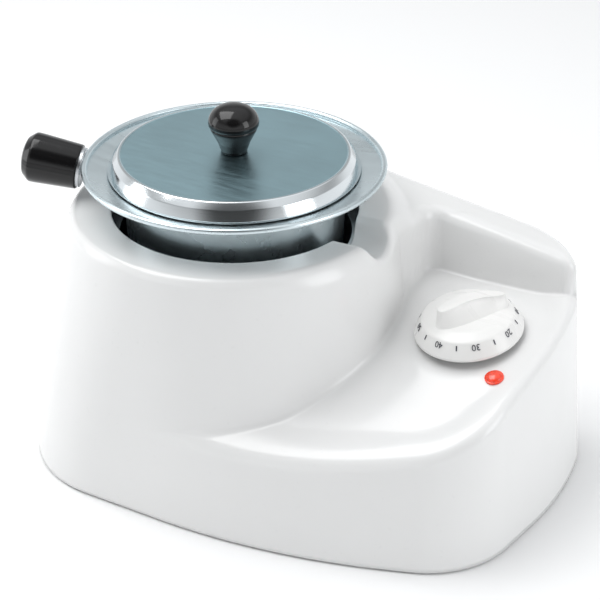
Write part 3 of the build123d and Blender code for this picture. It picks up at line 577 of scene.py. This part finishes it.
def finish(name, colour, second=None, scale=9.0, specks=0.2, speck=None, roughness=(0.3, 0.45),
           smudges=18.0, grain=900.0, bump=0.05, distance=0.0001, rings=None, rings_bump=0.1, centre=None,
           metal=0.0, **sockets):
    """A Principled material with drifting colour, handling marks in its roughness, and relief from grain
    and from turning marks about a centre. Values that are the same everywhere are set on the shader."""
    material = bpy.data.materials.new(name)
    material.use_nodes = True
    tree = material.node_tree
    shader = tree.nodes["Principled BSDF"]
    place = put(tree, "TexCoord").outputs["Object"]
    if centre is not None:
        place = put(tree, "Mapping", {"Vector": place, "Location": [-part for part in centre]}).outputs[0]
    second = shade(colour, 0.9) if second is None else shade(second, 1.0)
    tint = placed_group(tree, tint_group, {"Vector": place, "Scale": scale, "First": shade(colour, 1.0),
                                           "Second": second, "Specks": specks,
                                           "Speck": shade(speck or colour, 0.75)})
    marks = placed_group(tree, smudge_group, {"Vector": place, "Scale": smudges, "Clean": roughness[0],
                                              "Smudged": roughness[1]})
    tree.links.new(tint.outputs["Color"], shader.inputs["Base Color"])
    tree.links.new(marks.outputs["Roughness"], shader.inputs["Roughness"])
    shader.inputs["Metallic"].default_value = metal
    for key, value in sockets.items():
        shader.inputs[key.replace("_", " ")].default_value = value
    relief = placed_group(tree, grain_group, {"Vector": place, "Scale": grain})
    bumped = put(tree, "Bump", {"Strength": bump, "Distance": distance, "Height": relief.outputs["Height"]})
    last = bumped.outputs["Normal"]
    if rings:
        turned = placed_group(tree, rings_group, {"Vector": place, "Spacing": rings})
        last = put(tree, "Bump", {"Strength": rings_bump, "Distance": 0.0001, "Normal": last,
                                  "Height": turned.outputs["Height"]}).outputs["Normal"]
    tree.links.new(last, shader.inputs["Normal"])
    return material


# ---- settings ---------------------------------------------------------------------------------------

def colour_setting(name, text, value):
    """A colour setting."""
    return FloatVectorProperty(name=name, description=text, subtype="COLOR", default=value)


def length_setting(name, text, value):
    """A length setting, given in millimetres and kept in metres."""
    return FloatProperty(name=name, description=text, default=value * MM, unit="LENGTH")


def angle_setting(name, text, value):
    """An angle setting, given in degrees and kept in radians."""
    return FloatProperty(name=name, description=text, default=math.radians(value), subtype="ANGLE",
                         unit="ROTATION")


def power_setting(name, text, value):
    """The power setting of a light."""
    return FloatProperty(name=name, description=text, default=value, unit="POWER")


class CasingSettings(bpy.types.PropertyGroup):
    draft: angle_setting("Draft", "Lean of every moulded outer wall", 4.6)
    wall: length_setting("Wall", "Thickness of the moulded wall", 3.0)
    crest_radius: length_setting("Crest radius", "Rounding of the tower's upper edge", 4.5)
    foot_radius: length_setting("Foot radius", "Filling where the walls rise from the tray", 2.8)
    tray_roll: length_setting("Tray roll", "How far the tray lies below its rolled edge", 2.0)
    colour: colour_setting("Colour", "Moulded plastic", (0.80, 0.80, 0.795))


class MetalSettings(bpy.types.PropertyGroup):
    pot_colour: colour_setting("Pot", "Spun aluminium of the pot", (0.70, 0.79, 0.82))
    lid_colour: colour_setting("Lid", "Satin aluminium of the lid", (0.33, 0.49, 0.54))
    bead_radius: length_setting("Bead radius", "Rolled edge of the pot", 1.7)
    edge_radius: length_setting("Lid edge", "Rounding of the lid's upper edge", 1.1)


class HandleSettings(bpy.types.PropertyGroup):
    colour: colour_setting("Colour", "Black phenolic of the grips", (0.004, 0.004, 0.005))
    seam: length_setting("Seam height", "Height of the mould seams", 0.18)


class DialSettings(bpy.types.PropertyGroup):
    colour: colour_setting("Colour", "Moulded plastic of the dial", (0.84, 0.835, 0.82))
    ink: colour_setting("Ink", "Printed numbers and marks", (0.03, 0.03, 0.045))
    numeral_height: length_setting("Numeral height", "Height of the printed numbers", 3.7)
    first_angle: angle_setting("First number", "Direction of the highest number", 214.0)
    step_angle: angle_setting("Number spacing", "Angle from one number to the next", 45.0)


class LampSettings(bpy.types.PropertyGroup):
    colour: colour_setting("Colour", "Lens of the pilot lamp", (0.85, 0.05, 0.012))
    glow: FloatProperty(name="Glow", description="Strength of the light inside the lens", default=0.35)


class StageSettings(bpy.types.PropertyGroup):
    floor_colour: colour_setting("Floor", "Plain pale floor", (0.93, 0.93, 0.93))
    key_power: power_setting("Key light", "Power of the large overhead light", 10.5)
    side_power: power_setting("Side light", "Power of the left side light", 2.2)


# ---- operators --------------------------------------------------------------------------------------

class WAX_OT_casing(bpy.types.Operator):
    """Makes the moulded casing with its tower, tray, recess, rear wall and grooved well edge"""
    bl_idname = "waxheater.casing"
    bl_label = "Make Casing"

    def execute(self, context):
        sizes = context.scene.wax_casing
        form = CasingForm(sizes)
        rows, columns = 104, 404
        skin, angle = casing_rows(form, rows, columns)
        # The well's edge: a quarter round from the skin's first row, then the wall's own thickness down.
        lip_turn = np.radians([22.5, 45.0, 67.5, 90.0])[:, None]
        height = skin[0][:, 2]
        lip_r = WELL_R + LIP_R * (1.0 - np.sin(lip_turn))
        lip_z = height - LIP_R * (1.0 - np.cos(lip_turn))
        lip_r = np.concatenate([lip_r, [[WELL_R]]])
        lip_z = np.concatenate([lip_z, [height - sizes.wall / MM]])
        lip = np.stack([lip_r * np.cos(angle), lip_r * np.sin(angle), lip_z], -1)
        grid = np.concatenate([lip[::-1], skin])
        points = placed(grid * MM, upright(0.0))
        # Rows run outwards and columns anticlockwise, so the faces are turned over to face out.
        faces = grid_faces(len(grid), columns)[:, ::-1]
        piece = new_piece("casing_shell", [(points, faces)], turn_out=False)
        inner = piece.modifiers.new("wall", "SOLIDIFY")
        inner.thickness = sizes.wall
        inner.offset = -1.0
        colour = tuple(sizes.colour)
        piece.data.materials.append(finish(
            "casing_white_abs", colour, second=shade(colour, 0.975), scale=5.0, specks=0.10,
            roughness=(0.20, 0.24), smudges=4.0, grain=420.0, bump=0.05, distance=0.00015,
            Specular_IOR_Level=0.5, Coat_Weight=0.25, Coat_Roughness=0.08))
        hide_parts("housing")
        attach(piece, "casing")
        return {"FINISHED"}


class WAX_OT_pot(bpy.types.Operator):
    """Makes the spun pot with its coned flange and rolled bead"""
    bl_idname = "waxheater.pot"
    bl_label = "Make Pot"

    def execute(self, context):
        sizes = context.scene.wax_metal
        bead = sizes.bead_radius / MM
        rim = (POT_HIGH.x - POT_AXIS.x) / MM
        top, base = POT_HIGH.z / MM, POT_LOW.z / MM
        sheet, root = 1.2, top - 8.5
        bead_r, bead_z = rim - bead, top - bead
        # Outside from the base's middle to the bead, round the bead, and back down inside.
        outer = rounded([(0, base, 0), (59.0, base, 9.0), (62.5, root, 2.5), (68.5, root + 2.3, 2.5),
                         (bead_r, bead_z - bead, 0)], 8)
        roll = np.radians(np.linspace(-90.0, 205.0, 22))[1:]
        curl = np.stack([bead_r + bead * np.cos(roll), bead_z + bead * np.sin(roll)], -1)
        inner = rounded([(*curl[-1], 0), (bead_r - bead * 0.7, top - 2 * bead + 0.6, 0.5),
                         (68.0, root + 3.5, 2.5), (61.3, root + 1.1, 3.5), (57.8, base + sheet, 8.0),
                         (0, base + sheet, 0)], 8)
        profile = np.concatenate([outer, curl, inner[1:]])
        piece = new_piece("pot_shell", [lathe(profile, 192, upright(0.0))])
        colour = tuple(sizes.pot_colour)
        piece.data.materials.append(finish(
            "spun_aluminium", colour, second=shade(colour, 0.90), scale=14.0, specks=0.05,
            roughness=(0.26, 0.34), smudges=9.0, grain=2400.0, bump=0.02, rings=1500.0, rings_bump=0.10,
            centre=POT_AXIS, metal=1.0))
        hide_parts("pot")
        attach(piece, "pot")
        return {"FINISHED"}


class WAX_OT_lid(bpy.types.Operator):
    """Makes the lid's satin disc with its polished shoulder, and the turned knob on it"""
    bl_idname = "waxheater.lid"
    bl_label = "Make Lid"

    def execute(self, context):
        sizes = context.scene.wax_metal
        edge = (LID_HIGH.x - POT_AXIS.x) / MM
        top, low = LID_HIGH.z / MM, LID_LOW.z / MM
        soft, sheet, sunk = sizes.edge_radius / MM, 0.9, top - 0.35
        # Sunk disc, raised edge, shoulder down to the rim, and back underneath.
        profile = rounded([(0, sunk, 0), (DISC_R - 0.2, sunk, 0.6), (DISC_R + 0.6, top, 0.5),
                           (64.6, top, soft), (67.6, top - 3.4, 3.0), (edge, low + sheet, 1.6),
                           (edge, low, 0.3), (edge - sheet, low, 0.3), (66.6, top - 4.2, 3.0),
                           (63.6, top - 1.2, 1.0), (0, top - 1.35, 0)], 7)
        piece = new_piece("lid_shell", [lathe(profile, 192, upright(0.0))])
        piece.data.materials.append(self.satin(context, tuple(sizes.lid_colour)))
        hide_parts("lid")
        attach(piece, "lid")

        h, widest_z = (KNOB_HIGH.z - KNOB_LOW.z) / MM, 17.0
        r = (KNOB_HIGH.x - KNOB_LOW.x) / 2 / MM
        stem = rounded([(0, 0, 0), (7.4, 0, 0.4), (7.5, 1.2, 1.0), (9.2, 6.0, 9.0), (12.6, 12.6, 8.0),
                        (13.2, 14.4, 0.3)], 7)
        seam = np.array([(13.0, 14.6), (13.1, 14.9), (r - 0.5, 15.2), (r - 0.12, 15.8)])
        turn = np.radians(np.linspace(0.0, 90.0, 22))
        dome = np.stack([r * np.cos(turn) ** 0.82, widest_z + (h - widest_z) * np.sin(turn)], -1)
        dome[-1, 0] = 0.0
        profile = np.concatenate([stem, seam, dome])
        knob = new_piece("lid_grip", [lathe(profile, 96, upright(KNOB_LOW.z / MM))])
        knob.data.materials.append(phenolic(context))
        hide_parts("lid_knob")
        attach(knob, "lid")
        return {"FINISHED"}

    def satin(self, context, colour):
        """Satin disc and polished shoulder: roughness and colour change where the distance from the axis
        passes the disc's edge."""
        material = finish("lid_satin_aluminium", colour, second=shade(colour, 0.93), scale=12.0, specks=0.12,
                          roughness=(0.30, 0.38), smudges=20.0, grain=1500.0, bump=0.10, distance=0.00008,
                          rings=1300.0, rings_bump=0.03, centre=POT_AXIS, metal=1.0)
        tree = material.node_tree
        shader = tree.nodes["Principled BSDF"]
        place = put(tree, "TexCoord").outputs["Object"]
        middle = put(tree, "Mapping", {"Vector": place, "Location": (-POT_AXIS.x, -POT_AXIS.y, 0.0),
                                       "Scale": (1.0, 1.0, 0.0)})
        reach = put(tree, "VectorMath", {0: middle.outputs[0]}, operation="LENGTH").outputs["Value"]
        polished = put(tree, "MapRange", {"Value": reach, "From Min": DISC_R * MM,
                                          "From Max": (DISC_R + 1.4) * MM}).outputs[0]
        rough, base = (shader.inputs[name].links[0].from_socket for name in ("Roughness", "Base Color"))
        smoother = put(tree, "Mix", {"Factor": polished, 2: rough, 3: 0.13})
        brighter = put(tree, "Mix", {"Factor": polished, 6: base, 7: (0.80, 0.84, 0.86, 1.0)},
                       data_type="RGBA")
        tree.links.new(smoother.outputs[0], shader.inputs["Roughness"])
        tree.links.new(brighter.outputs[2], shader.inputs["Base Color"])
        return material


def phenolic(context):
    """Glossy black phenolic moulding, made once."""
    found = bpy.data.materials.get("black_phenolic")
    if found:
        return found
    colour = tuple(context.scene.wax_handle.colour)
    return finish("black_phenolic", colour, second=(0.007, 0.0065, 0.0065), scale=30.0, specks=0.15,
                  speck=(0.06, 0.055, 0.05), roughness=(0.09, 0.17), smudges=20.0, grain=700.0, bump=0.03,
                  Specular_IOR_Level=0.42)


class WAX_OT_handle(bpy.types.Operator):
    """Makes the pot's side handle with its mould seams and rounded end"""
    bl_idname = "waxheater.handle"
    bl_label = "Make Handle"

    def execute(self, context):
        ridge = context.scene.wax_handle.seam / MM
        root_r, end_r, length = 12.8, 14.2, 32.5
        profile = rounded([(0, 0, 0), (root_r - 0.2, 0, 0.9), (root_r, 2.0, 0.5),
                           (end_r - 0.1, length - 9.0, 6.0), (end_r, length - 5.4, 3.0),
                           (end_r - 3.4, length - 1.4, 3.0), (end_r - 6.6, length - 0.2, 1.6),
                           (end_r - 7.4, length - 0.6, 0.4), (0, length - 0.6, 0)], 7)
        # Long runs are divided, so that the seams' fading has rows to show on.
        longest = 2.2
        runs = []
        for a, b in zip(profile[:-1], profile[1:]):
            pieces = max(1, int(np.linalg.norm(b - a) / longest))
            runs.append(a + (b - a) * np.linspace(0.0, 1.0, pieces, endpoint=False)[:, None])
        profile = np.concatenate(runs + [profile[-1:]])

        def seams(angle, height):
            """Two thin ridges along the parting line, each a bell in the angle."""
            away = np.abs(np.sin(angle))
            return ridge * np.exp(-(away / 0.03) ** 2) * smooth_step(0.5, 2.5, height)

        piece = new_piece("handle_grip", [lathe(profile, 180, HANDLE_FRAME, seams)])
        piece.data.materials.append(phenolic(context))
        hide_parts("pot_handle")
        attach(piece, "pot")
        return {"FINISHED"}


class WAX_OT_dial(bpy.types.Operator):
    """Makes the dial's coned skirt, its scooped pointer grip and the printed numbers"""
    bl_idname = "waxheater.dial"
    bl_label = "Make Dial"
    GAP = 0.9
    SKIRT_R = 30.2
    TOP_R = 25.2
    CONE_FOOT = GAP + 1.5
    CONE_TOP = GAP + 9.4
    PROUD = 0.06

    def execute(self, context):
        sizes = context.scene.wax_dial
        gap, hollow_r = self.GAP, 28.2
        skirt = rounded([(0, gap + 8.0, 0), (23.0, gap + 8.0, 0.5), (hollow_r, gap + 1.0, 0.4),
                         (hollow_r, gap, 0.3), (self.SKIRT_R, gap, 0.5), (self.SKIRT_R, self.CONE_FOOT, 1.0),
                         (self.TOP_R, self.CONE_TOP, 3.2), (18.0, gap + 11.2, 12.0), (0, gap + 11.6, 0)], 9)
        piece = new_piece("dial_knob", [lathe(skirt, 144, DIAL_FRAME), self.grip(gap)])
        colour = tuple(sizes.colour)
        piece.data.materials.append(finish(
            "dial_white_plastic", colour, second=shade(colour, 0.97), scale=22.0, specks=0.12,
            roughness=(0.27, 0.31), smudges=9.0, grain=900.0, bump=0.04, Coat_Weight=0.15,
            Coat_Roughness=0.12))
        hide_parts("control_knob")
        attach(piece, "dial")
        self.print_scale(sizes)
        return {"FINISHED"}

    def grip(self, gap):
        """A leaf-shaped bar: a foot outline carried up into a ridge outline, moved in by the rise to the
        power 0.8, so its sides are scooped, then over a rounded edge to the spine."""
        foot = looped([(-13.6, -12.5), (-9.4, -18.9), (-1.6, -18.4), (7.6, -10.4), (15.0, -0.6), (18.4, 7.6),
                       (17.6, 16.6), (10.5, 19.2), (1.0, 16.4), (-6.8, 7.6), (-12.4, -2.8)], 120)
        ridge = looped([(-11.4, -11.9), (-8.7, -14.9), (-5.2, -13.0), (0.9, -3.4), (7.4, 5.4), (12.9, 10.4),
                        (16.8, 14.8), (10.6, 15.8), (2.8, 12.0), (-4.2, 4.4), (-9.4, -4.4)], 120)
        spine_t = np.clip((ridge @ np.array([0.62, 0.785]) + 16.0) / 40.0, 0.08, 0.92)[:, None]
        spine = np.array([-9.5, -12.5]) + spine_t * np.array([26.0, 27.5])
        base, edge = gap + 9.0, 0.8
        top = gap + 19.6 - 3.2 * smooth_step(0.35, 1.0, spine_t[:, 0])
        rows = [np.column_stack([np.broadcast_to(foot.mean(0), foot.shape), np.full(len(foot), base)])]
        for rise in np.linspace(0.0, 1.0, 9):
            rows.append(np.column_stack([foot + (ridge - foot) * rise ** 0.8, base + (top - base) * rise]))
        over = [(0.16 * (1.0 - math.cos(t)), edge * math.sin(t)) for t in np.radians([30.0, 60.0, 90.0])]
        over += [(inward, edge + 0.25 * inward) for inward in (0.4, 0.7, 1.0)]
        for inward, rise in over:
            rows.append(np.column_stack([ridge + (spine - ridge) * inward, top + rise]))
        grid = np.array(rows)
        return placed(grid * MM, DIAL_FRAME), grid_faces(len(grid), grid.shape[1])

    def print_scale(self, sizes):
        """Numbers and ticks bent round the skirt's cone: across the glyph is angle, up the glyph is
        distance down the slope, and the print stands a little proud."""
        slope = math.atan2(self.SKIRT_R - self.TOP_R, self.CONE_TOP - self.CONE_FOOT)
        middle_r, middle_down = 27.6, 2.9
        points, faces, count = [], [], 0
        marks = [(str(50 - 10 * k), k) for k in range(5)] + [(None, k + 0.5) for k in range(-1, 5)]
        for label, k in marks:
            if label is None:
                flat = np.stack(np.meshgrid([-0.36, 0.36], np.linspace(1.4, -1.4, 5)), -1).reshape(-1, 2)
                quads = [(2 * i, 2 * i + 1, 2 * i + 3, 2 * i + 2) for i in range(4)]
            else:
                flat, quads = self.glyphs(label, sizes.numeral_height / MM)
            angle = sizes.first_angle + k * sizes.step_angle - flat[:, 0] / middle_r
            down = middle_down + flat[:, 1]
            radius = self.TOP_R + 0.15 + down * math.sin(slope) + self.PROUD
            height = self.CONE_TOP - down * math.cos(slope) + self.PROUD * math.sin(slope)
            points.append(np.column_stack([radius * np.cos(angle), radius * np.sin(angle), height]))
            faces += [tuple(i + count for i in face) for face in quads]
            count += len(flat)
        mesh = bpy.data.meshes.new("dial_print")
        mesh.from_pydata(placed(np.concatenate(points) * MM, DIAL_FRAME).tolist(), [], faces)
        mesh.validate()
        piece = bpy.data.objects.new("dial_print", mesh)
        bpy.context.scene.collection.objects.link(piece)
        thick = piece.modifiers.new("ink", "SOLIDIFY")
        thick.thickness = 0.12 * MM
        thick.offset = 0.0
        ink = tuple(sizes.ink)
        mesh.materials.append(finish(
            "printed_ink", ink, second=shade(ink, 1.8), scale=160.0, specks=0.5, speck=(0.25, 0.25, 0.27),
            roughness=(0.45, 0.6), grain=3000.0, bump=0.1))
        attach(piece, "dial")

    def glyphs(self, label, height):
        """Flat outlines of a number in millimetres, centred, with its faces."""
        curve = bpy.data.curves.new("number", "FONT")
        curve.body = label
        curve.size = height * 1.35
        curve.align_x = "CENTER"
        curve.resolution_u = 3
        maker = bpy.data.objects.new("number", curve)
        bpy.context.scene.collection.objects.link(maker)
        bpy.context.view_layer.update()
        mesh = bpy.data.meshes.new_from_object(maker.evaluated_get(bpy.context.evaluated_depsgraph_get()))
        flat = np.zeros(len(mesh.vertices) * 3)
        mesh.vertices.foreach_get("co", flat)
        flat = flat.reshape(-1, 3)[:, :2]
        flat[:, 1] -= (flat[:, 1].max() + flat[:, 1].min()) / 2
        faces = [tuple(p.vertices) for p in mesh.polygons]
        bpy.data.objects.remove(maker)
        bpy.data.curves.remove(curve)
        bpy.data.meshes.remove(mesh)
        return flat, faces


class WAX_OT_lamp(bpy.types.Operator):
    """Makes the pilot lamp's domed red lens"""
    bl_idname = "waxheater.lamp"
    bl_label = "Make Lamp"

    def execute(self, context):
        sizes = context.scene.wax_lamp
        # The lens leans with the tray: its axis is the direction in which its points spread least.
        middle = (LENS_LOW + LENS_HIGH) / 2
        nodes = np.array([v.co for v in frame["nodes"]["pilot_lamp_lens"].data.vertices])
        spread = nodes - nodes.mean(0)
        way = np.linalg.svd(spread, full_matrices=False)[2][2]
        way = way if way[2] > 0 else -way
        heights = (nodes - np.array(middle)) @ way
        lens = along(Vector(np.array(middle) + way * heights.min()), way)
        rise = (heights.max() - heights.min()) / MM
        turn = np.radians(np.linspace(0.0, 90.0, 14))
        rim_r, dome_r, crown = 5.2, 4.2, 1.6
        dome = np.stack([dome_r * np.cos(turn), rise - crown + crown * np.sin(turn)], -1)
        dome[-1, 0] = 0.0
        rim = rounded([(0, 0, 0), (rim_r, 0, 0.1), (rim_r, rise - 1.9, 0.25), (dome_r, rise - 1.75, 0)], 4)
        piece = new_piece("lamp_lens", [lathe(np.concatenate([rim, dome]), 72, lens)])
        colour = tuple(sizes.colour)
        material = finish("red_lens", colour, second=shade(colour, 0.6), scale=420.0, specks=0.2,
                          speck=(1.0, 0.35, 0.2), roughness=(0.10, 0.2), smudges=60.0, grain=1600.0, bump=0.2,
                          Subsurface_Weight=0.35, Subsurface_Scale=0.002, Coat_Weight=0.6, Coat_Roughness=0.04)
        tree = material.node_tree
        shader = tree.nodes["Principled BSDF"]
        tree.links.new(shader.inputs["Base Color"].links[0].from_socket, shader.inputs["Emission Color"])
        shader.inputs["Emission Strength"].default_value = sizes.glow
        piece.data.materials.append(material)
        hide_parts("pilot_lamp_lens")
        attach(piece, "casing")
        return {"FINISHED"}


FITTINGS = {
    "base_sheet": (("base_plate",), dict(
        colour=(0.16, 0.16, 0.165), second=(0.12, 0.12, 0.125), scale=16.0, specks=0.5, roughness=(0.42, 0.6),
        grain=1200.0, bump=0.25)),
    "plated_steel": (("base_screws", "carrier_screws", "thermostat_screws", "terminal_screws", "clamp_screws",
                      "earth_screw", "lid_knob_screw", "lid_washer", "handle_stud", "thermostat_spindle",
                      "knob_spring", "pilot_lamp_clip", "carrier_posts"), dict(
        colour=(0.60, 0.60, 0.58), second=(0.48, 0.47, 0.44), scale=60.0, specks=0.6, roughness=(0.25, 0.42),
        grain=2600.0, bump=0.10, metal=1.0)),
    "bracket_steel": (("handle_bracket",), dict(
        colour=(0.62, 0.64, 0.66), second=(0.52, 0.54, 0.56), scale=40.0, specks=0.3, roughness=(0.22, 0.36),
        grain=2000.0, bump=0.08, metal=1.0)),
    "galvanised_sheet": (("hotplate_carrier",), dict(
        colour=(0.50, 0.52, 0.54), second=(0.36, 0.38, 0.40), scale=90.0, specks=0.5, roughness=(0.35, 0.5),
        grain=1400.0, bump=0.12, metal=1.0)),
    "liner_aluminium": (("well_liner",), dict(
        colour=(0.62, 0.66, 0.68), second=(0.50, 0.54, 0.57), scale=24.0, specks=0.2, roughness=(0.28, 0.42),
        grain=1800.0, bump=0.06, metal=1.0, rings=1500.0, rings_bump=0.15, centre=POT_AXIS)),
    "cast_aluminium": (("hotplate",), dict(
        colour=(0.34, 0.34, 0.34), second=(0.24, 0.24, 0.245), scale=50.0, specks=0.7, roughness=(0.48, 0.68),
        grain=1100.0, bump=0.5, metal=0.9)),
    "sheath_steel": (("heating_element", "thermostat_bulb", "thermal_fuse"), dict(
        colour=(0.22, 0.19, 0.17), second=(0.13, 0.12, 0.13), scale=80.0, specks=0.5, roughness=(0.4, 0.6),
        grain=1500.0, bump=0.25, metal=0.9)),
    "capillary_copper": (("capillary_tube",), dict(
        colour=(0.72, 0.36, 0.20), second=(0.50, 0.24, 0.14), scale=90.0, specks=0.3, roughness=(0.25, 0.42),
        grain=1800.0, bump=0.08, metal=1.0)),
    "fibre_insulation": (("insulation_pad",), dict(
        colour=(0.72, 0.70, 0.64), second=(0.60, 0.57, 0.50), scale=70.0, specks=0.8, roughness=(0.85, 0.98),
        grain=500.0, bump=0.9)),
    "foot_rubber_grey": (("rubber_feet",), dict(
        colour=(0.045, 0.045, 0.047), second=(0.07, 0.07, 0.072), scale=60.0, specks=0.6, roughness=(0.62, 0.8),
        grain=1400.0, bump=0.35)),
    "thermostat_phenolic": (("thermostat_body", "terminal_block"), dict(
        colour=(0.035, 0.028, 0.024), second=(0.055, 0.042, 0.034), scale=60.0, specks=0.5,
        roughness=(0.35, 0.5), grain=900.0, bump=0.15)),
    "lamp_holder_nylon": (("pilot_lamp_body",), dict(
        colour=(0.62, 0.60, 0.54), second=(0.55, 0.52, 0.46), scale=90.0, specks=0.3, roughness=(0.4, 0.55),
        grain=1200.0, bump=0.1)),
    "bush_rubber_black": (("cord_bush", "cord_clamp"), dict(
        colour=(0.022, 0.022, 0.024), second=(0.035, 0.035, 0.036), scale=80.0, specks=0.4,
        roughness=(0.4, 0.58), grain=1300.0, bump=0.2)),
    "lead_brown": (("wire_live", "wire_switched"), dict(
        colour=(0.16, 0.06, 0.03), second=(0.12, 0.045, 0.025), scale=90.0, specks=0.3, roughness=(0.35, 0.5),
        grain=1500.0, bump=0.1)),
    "lead_blue": (("wire_neutral", "wire_lamp"), dict(
        colour=(0.03, 0.09, 0.30), second=(0.025, 0.07, 0.24), scale=90.0, specks=0.3, roughness=(0.35, 0.5),
        grain=1500.0, bump=0.1)),
    "lead_green": (("wire_earth",), dict(
        colour=(0.06, 0.26, 0.05), second=(0.40, 0.42, 0.05), scale=180.0, specks=0.2, roughness=(0.35, 0.5),
        grain=1500.0, bump=0.1)),
}


class WAX_OT_fittings(bpy.types.Operator):
    """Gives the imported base, feet, fasteners, heater, wiring and bracket their finishes"""
    bl_idname = "waxheater.fittings"
    bl_label = "Finish Fittings"

    def execute(self, context):
        for name, (nodes, look) in FITTINGS.items():
            material = finish(name, **look)
            for node in nodes:
                mesh = frame["nodes"][node].data
                mesh.materials.clear()
                mesh.materials.append(material)
        return {"FINISHED"}


class WAX_OT_stage(bpy.types.Operator):
    """Makes the plain pale floor, the soft studio lights and the camera"""
    bl_idname = "waxheater.stage"
    bl_label = "Make Stage"

    def execute(self, context):
        sizes = context.scene.wax_stage
        scene = context.scene
        mesh = bpy.data.meshes.new("floor")
        far = 6.0
        corners = [(-far, -far, 0.0), (far, -far, 0.0), (far, far, 0.0), (-far, far, 0.0)]
        mesh.from_pydata(corners, [], [(0, 1, 2, 3)])
        floor = bpy.data.objects.new("floor", mesh)
        scene.collection.objects.link(floor)
        mesh.materials.append(finish("floor_paper", tuple(sizes.floor_colour), second=tuple(sizes.floor_colour),
                                     specks=0.0, roughness=(0.8, 0.9), grain=300.0, bump=0.01))

        world = bpy.data.worlds.new("studio")
        scene.world = world
        world.use_nodes = True
        tree = world.node_tree
        sight = put(tree, "TexCoord").outputs["Generated"]
        way = put(tree, "SeparateXYZ", {0: sight})
        levels = put(tree, "ValToRGB", {0: way.outputs[2]})
        ramp = levels.color_ramp
        ramp.interpolation = "EASE"
        # Bright at the horizon and overhead, and dimmer a third of the way up.
        ramp.elements[0].position, ramp.elements[1].position = 0.0, 1.0
        ends = {0.0: ramp.elements[0], 1.0: ramp.elements[1]}
        for spot, level in ((0.0, 1.0), (1.0, 1.1), (0.22, 0.9), (0.5, 0.42), (0.78, 0.85)):
            stop = ends[spot] if spot in ends else ramp.elements.new(spot)
            stop.color = (level, level, level, 1.0)
        # A dark curtain stands on the near side, so that polished edges show a dark middle.
        curtain = put(tree, "VectorMath", {0: sight, 1: (0.383, -0.663, 0.643)},
                      operation="DOT_PRODUCT").outputs["Value"]
        gap = put(tree, "MapRange", {"Value": curtain, "From Min": 0.80, "From Max": 0.96, "To Min": 1.0,
                                     "To Max": 0.12}, interpolation_type="SMOOTHSTEP").outputs[0]
        sky = tree.nodes["Background"]
        sky.inputs["Color"].default_value = (0.97, 0.985, 1.0, 1.0)
        tree.links.new(sums(tree, "MULTIPLY", levels.outputs[0], gap), sky.inputs["Strength"])

        middle = POT_AXIS + Vector((0.04, 0.02, 0.09))
        lights = (
            ("key", (-0.55, -0.15, 1.25), 1.1, 0.9, sizes.key_power, (1.0, 1.0, 1.0)),
            ("left_wall", (-1.10, -0.50, 0.35), 0.5, 0.8, sizes.side_power, (0.97, 0.99, 1.0)),
            ("right_wall", (1.15, 0.0, 0.42), 0.5, 0.8, 1.6 * sizes.side_power, (0.98, 0.99, 1.0)),
        )
        for name, offset, wide, tall, power, colour in lights:
            lamp = bpy.data.lights.new(name, "AREA")
            lamp.shape = "RECTANGLE"
            lamp.size, lamp.size_y = wide, tall
            lamp.energy = power
            lamp.color = colour
            holder = bpy.data.objects.new(name, lamp)
            scene.collection.objects.link(holder)
            holder.location = middle + Vector(offset)
            holder.rotation_euler = (middle - holder.location).to_track_quat("-Z", "Y").to_euler()

        turn, rise, away = math.radians(30.0), math.radians(29.611), 1.0
        aim = POT_AXIS + Vector((0.0364 * math.cos(turn), 0.0364 * math.sin(turn), 0.08686))
        back = Vector((math.sin(turn) * math.cos(rise), -math.cos(turn) * math.cos(rise), math.sin(rise)))
        camera = bpy.data.cameras.new("camera")
        camera.lens = 103.3146
        camera.sensor_width = 36.0
        camera.clip_end = 50.0
        holder = bpy.data.objects.new("camera", camera)
        scene.collection.objects.link(holder)
        holder.location = aim + back * away
        holder.rotation_euler = (-back).to_track_quat("-Z", "Y").to_euler()
        scene.camera = holder
        scene.view_settings.view_transform = "Standard"
        return {"FINISHED"}


class WAX_PT_panel(bpy.types.Panel):
    """The heater's pieces and their settings"""
    bl_idname = "WAX_PT_panel"
    bl_label = "Wax Heater"
    bl_space_type = "VIEW_3D"
    bl_region_type = "UI"
    bl_category = "Wax Heater"

    def draw(self, context):
        for setting, (kind, operators) in SETTINGS.items():
            box = self.layout.box()
            for name in kind.__annotations__:
                box.prop(getattr(context.scene, setting), name)
            for operator in operators:
                box.operator(operator.bl_idname)


SETTINGS = {
    "wax_casing": (CasingSettings, (WAX_OT_casing,)),
    "wax_metal": (MetalSettings, (WAX_OT_pot, WAX_OT_lid)),
    "wax_handle": (HandleSettings, (WAX_OT_handle,)),
    "wax_dial": (DialSettings, (WAX_OT_dial,)),
    "wax_lamp": (LampSettings, (WAX_OT_lamp, WAX_OT_fittings)),
    "wax_stage": (StageSettings, (WAX_OT_stage,)),
}


def register():
    for setting, (kind, operators) in SETTINGS.items():
        bpy.utils.register_class(kind)
        setattr(bpy.types.Scene, setting, PointerProperty(type=kind))
        for operator in operators:
            bpy.utils.register_class(operator)
    bpy.utils.register_class(WAX_PT_panel)


def unregister():
    bpy.utils.unregister_class(WAX_PT_panel)
    for setting, (kind, operators) in SETTINGS.items():
        for operator in operators:
            bpy.utils.unregister_class(operator)
        delattr(bpy.types.Scene, setting)
        bpy.utils.unregister_class(kind)


def main():
    register()
    bpy.ops.waxheater.casing()
    bpy.ops.waxheater.pot()
    bpy.ops.waxheater.lid()
    bpy.ops.waxheater.handle()
    bpy.ops.waxheater.dial()
    bpy.ops.waxheater.lamp()
    bpy.ops.waxheater.fittings()
    bpy.ops.waxheater.stage()


if __name__ == "__main__":
    main()
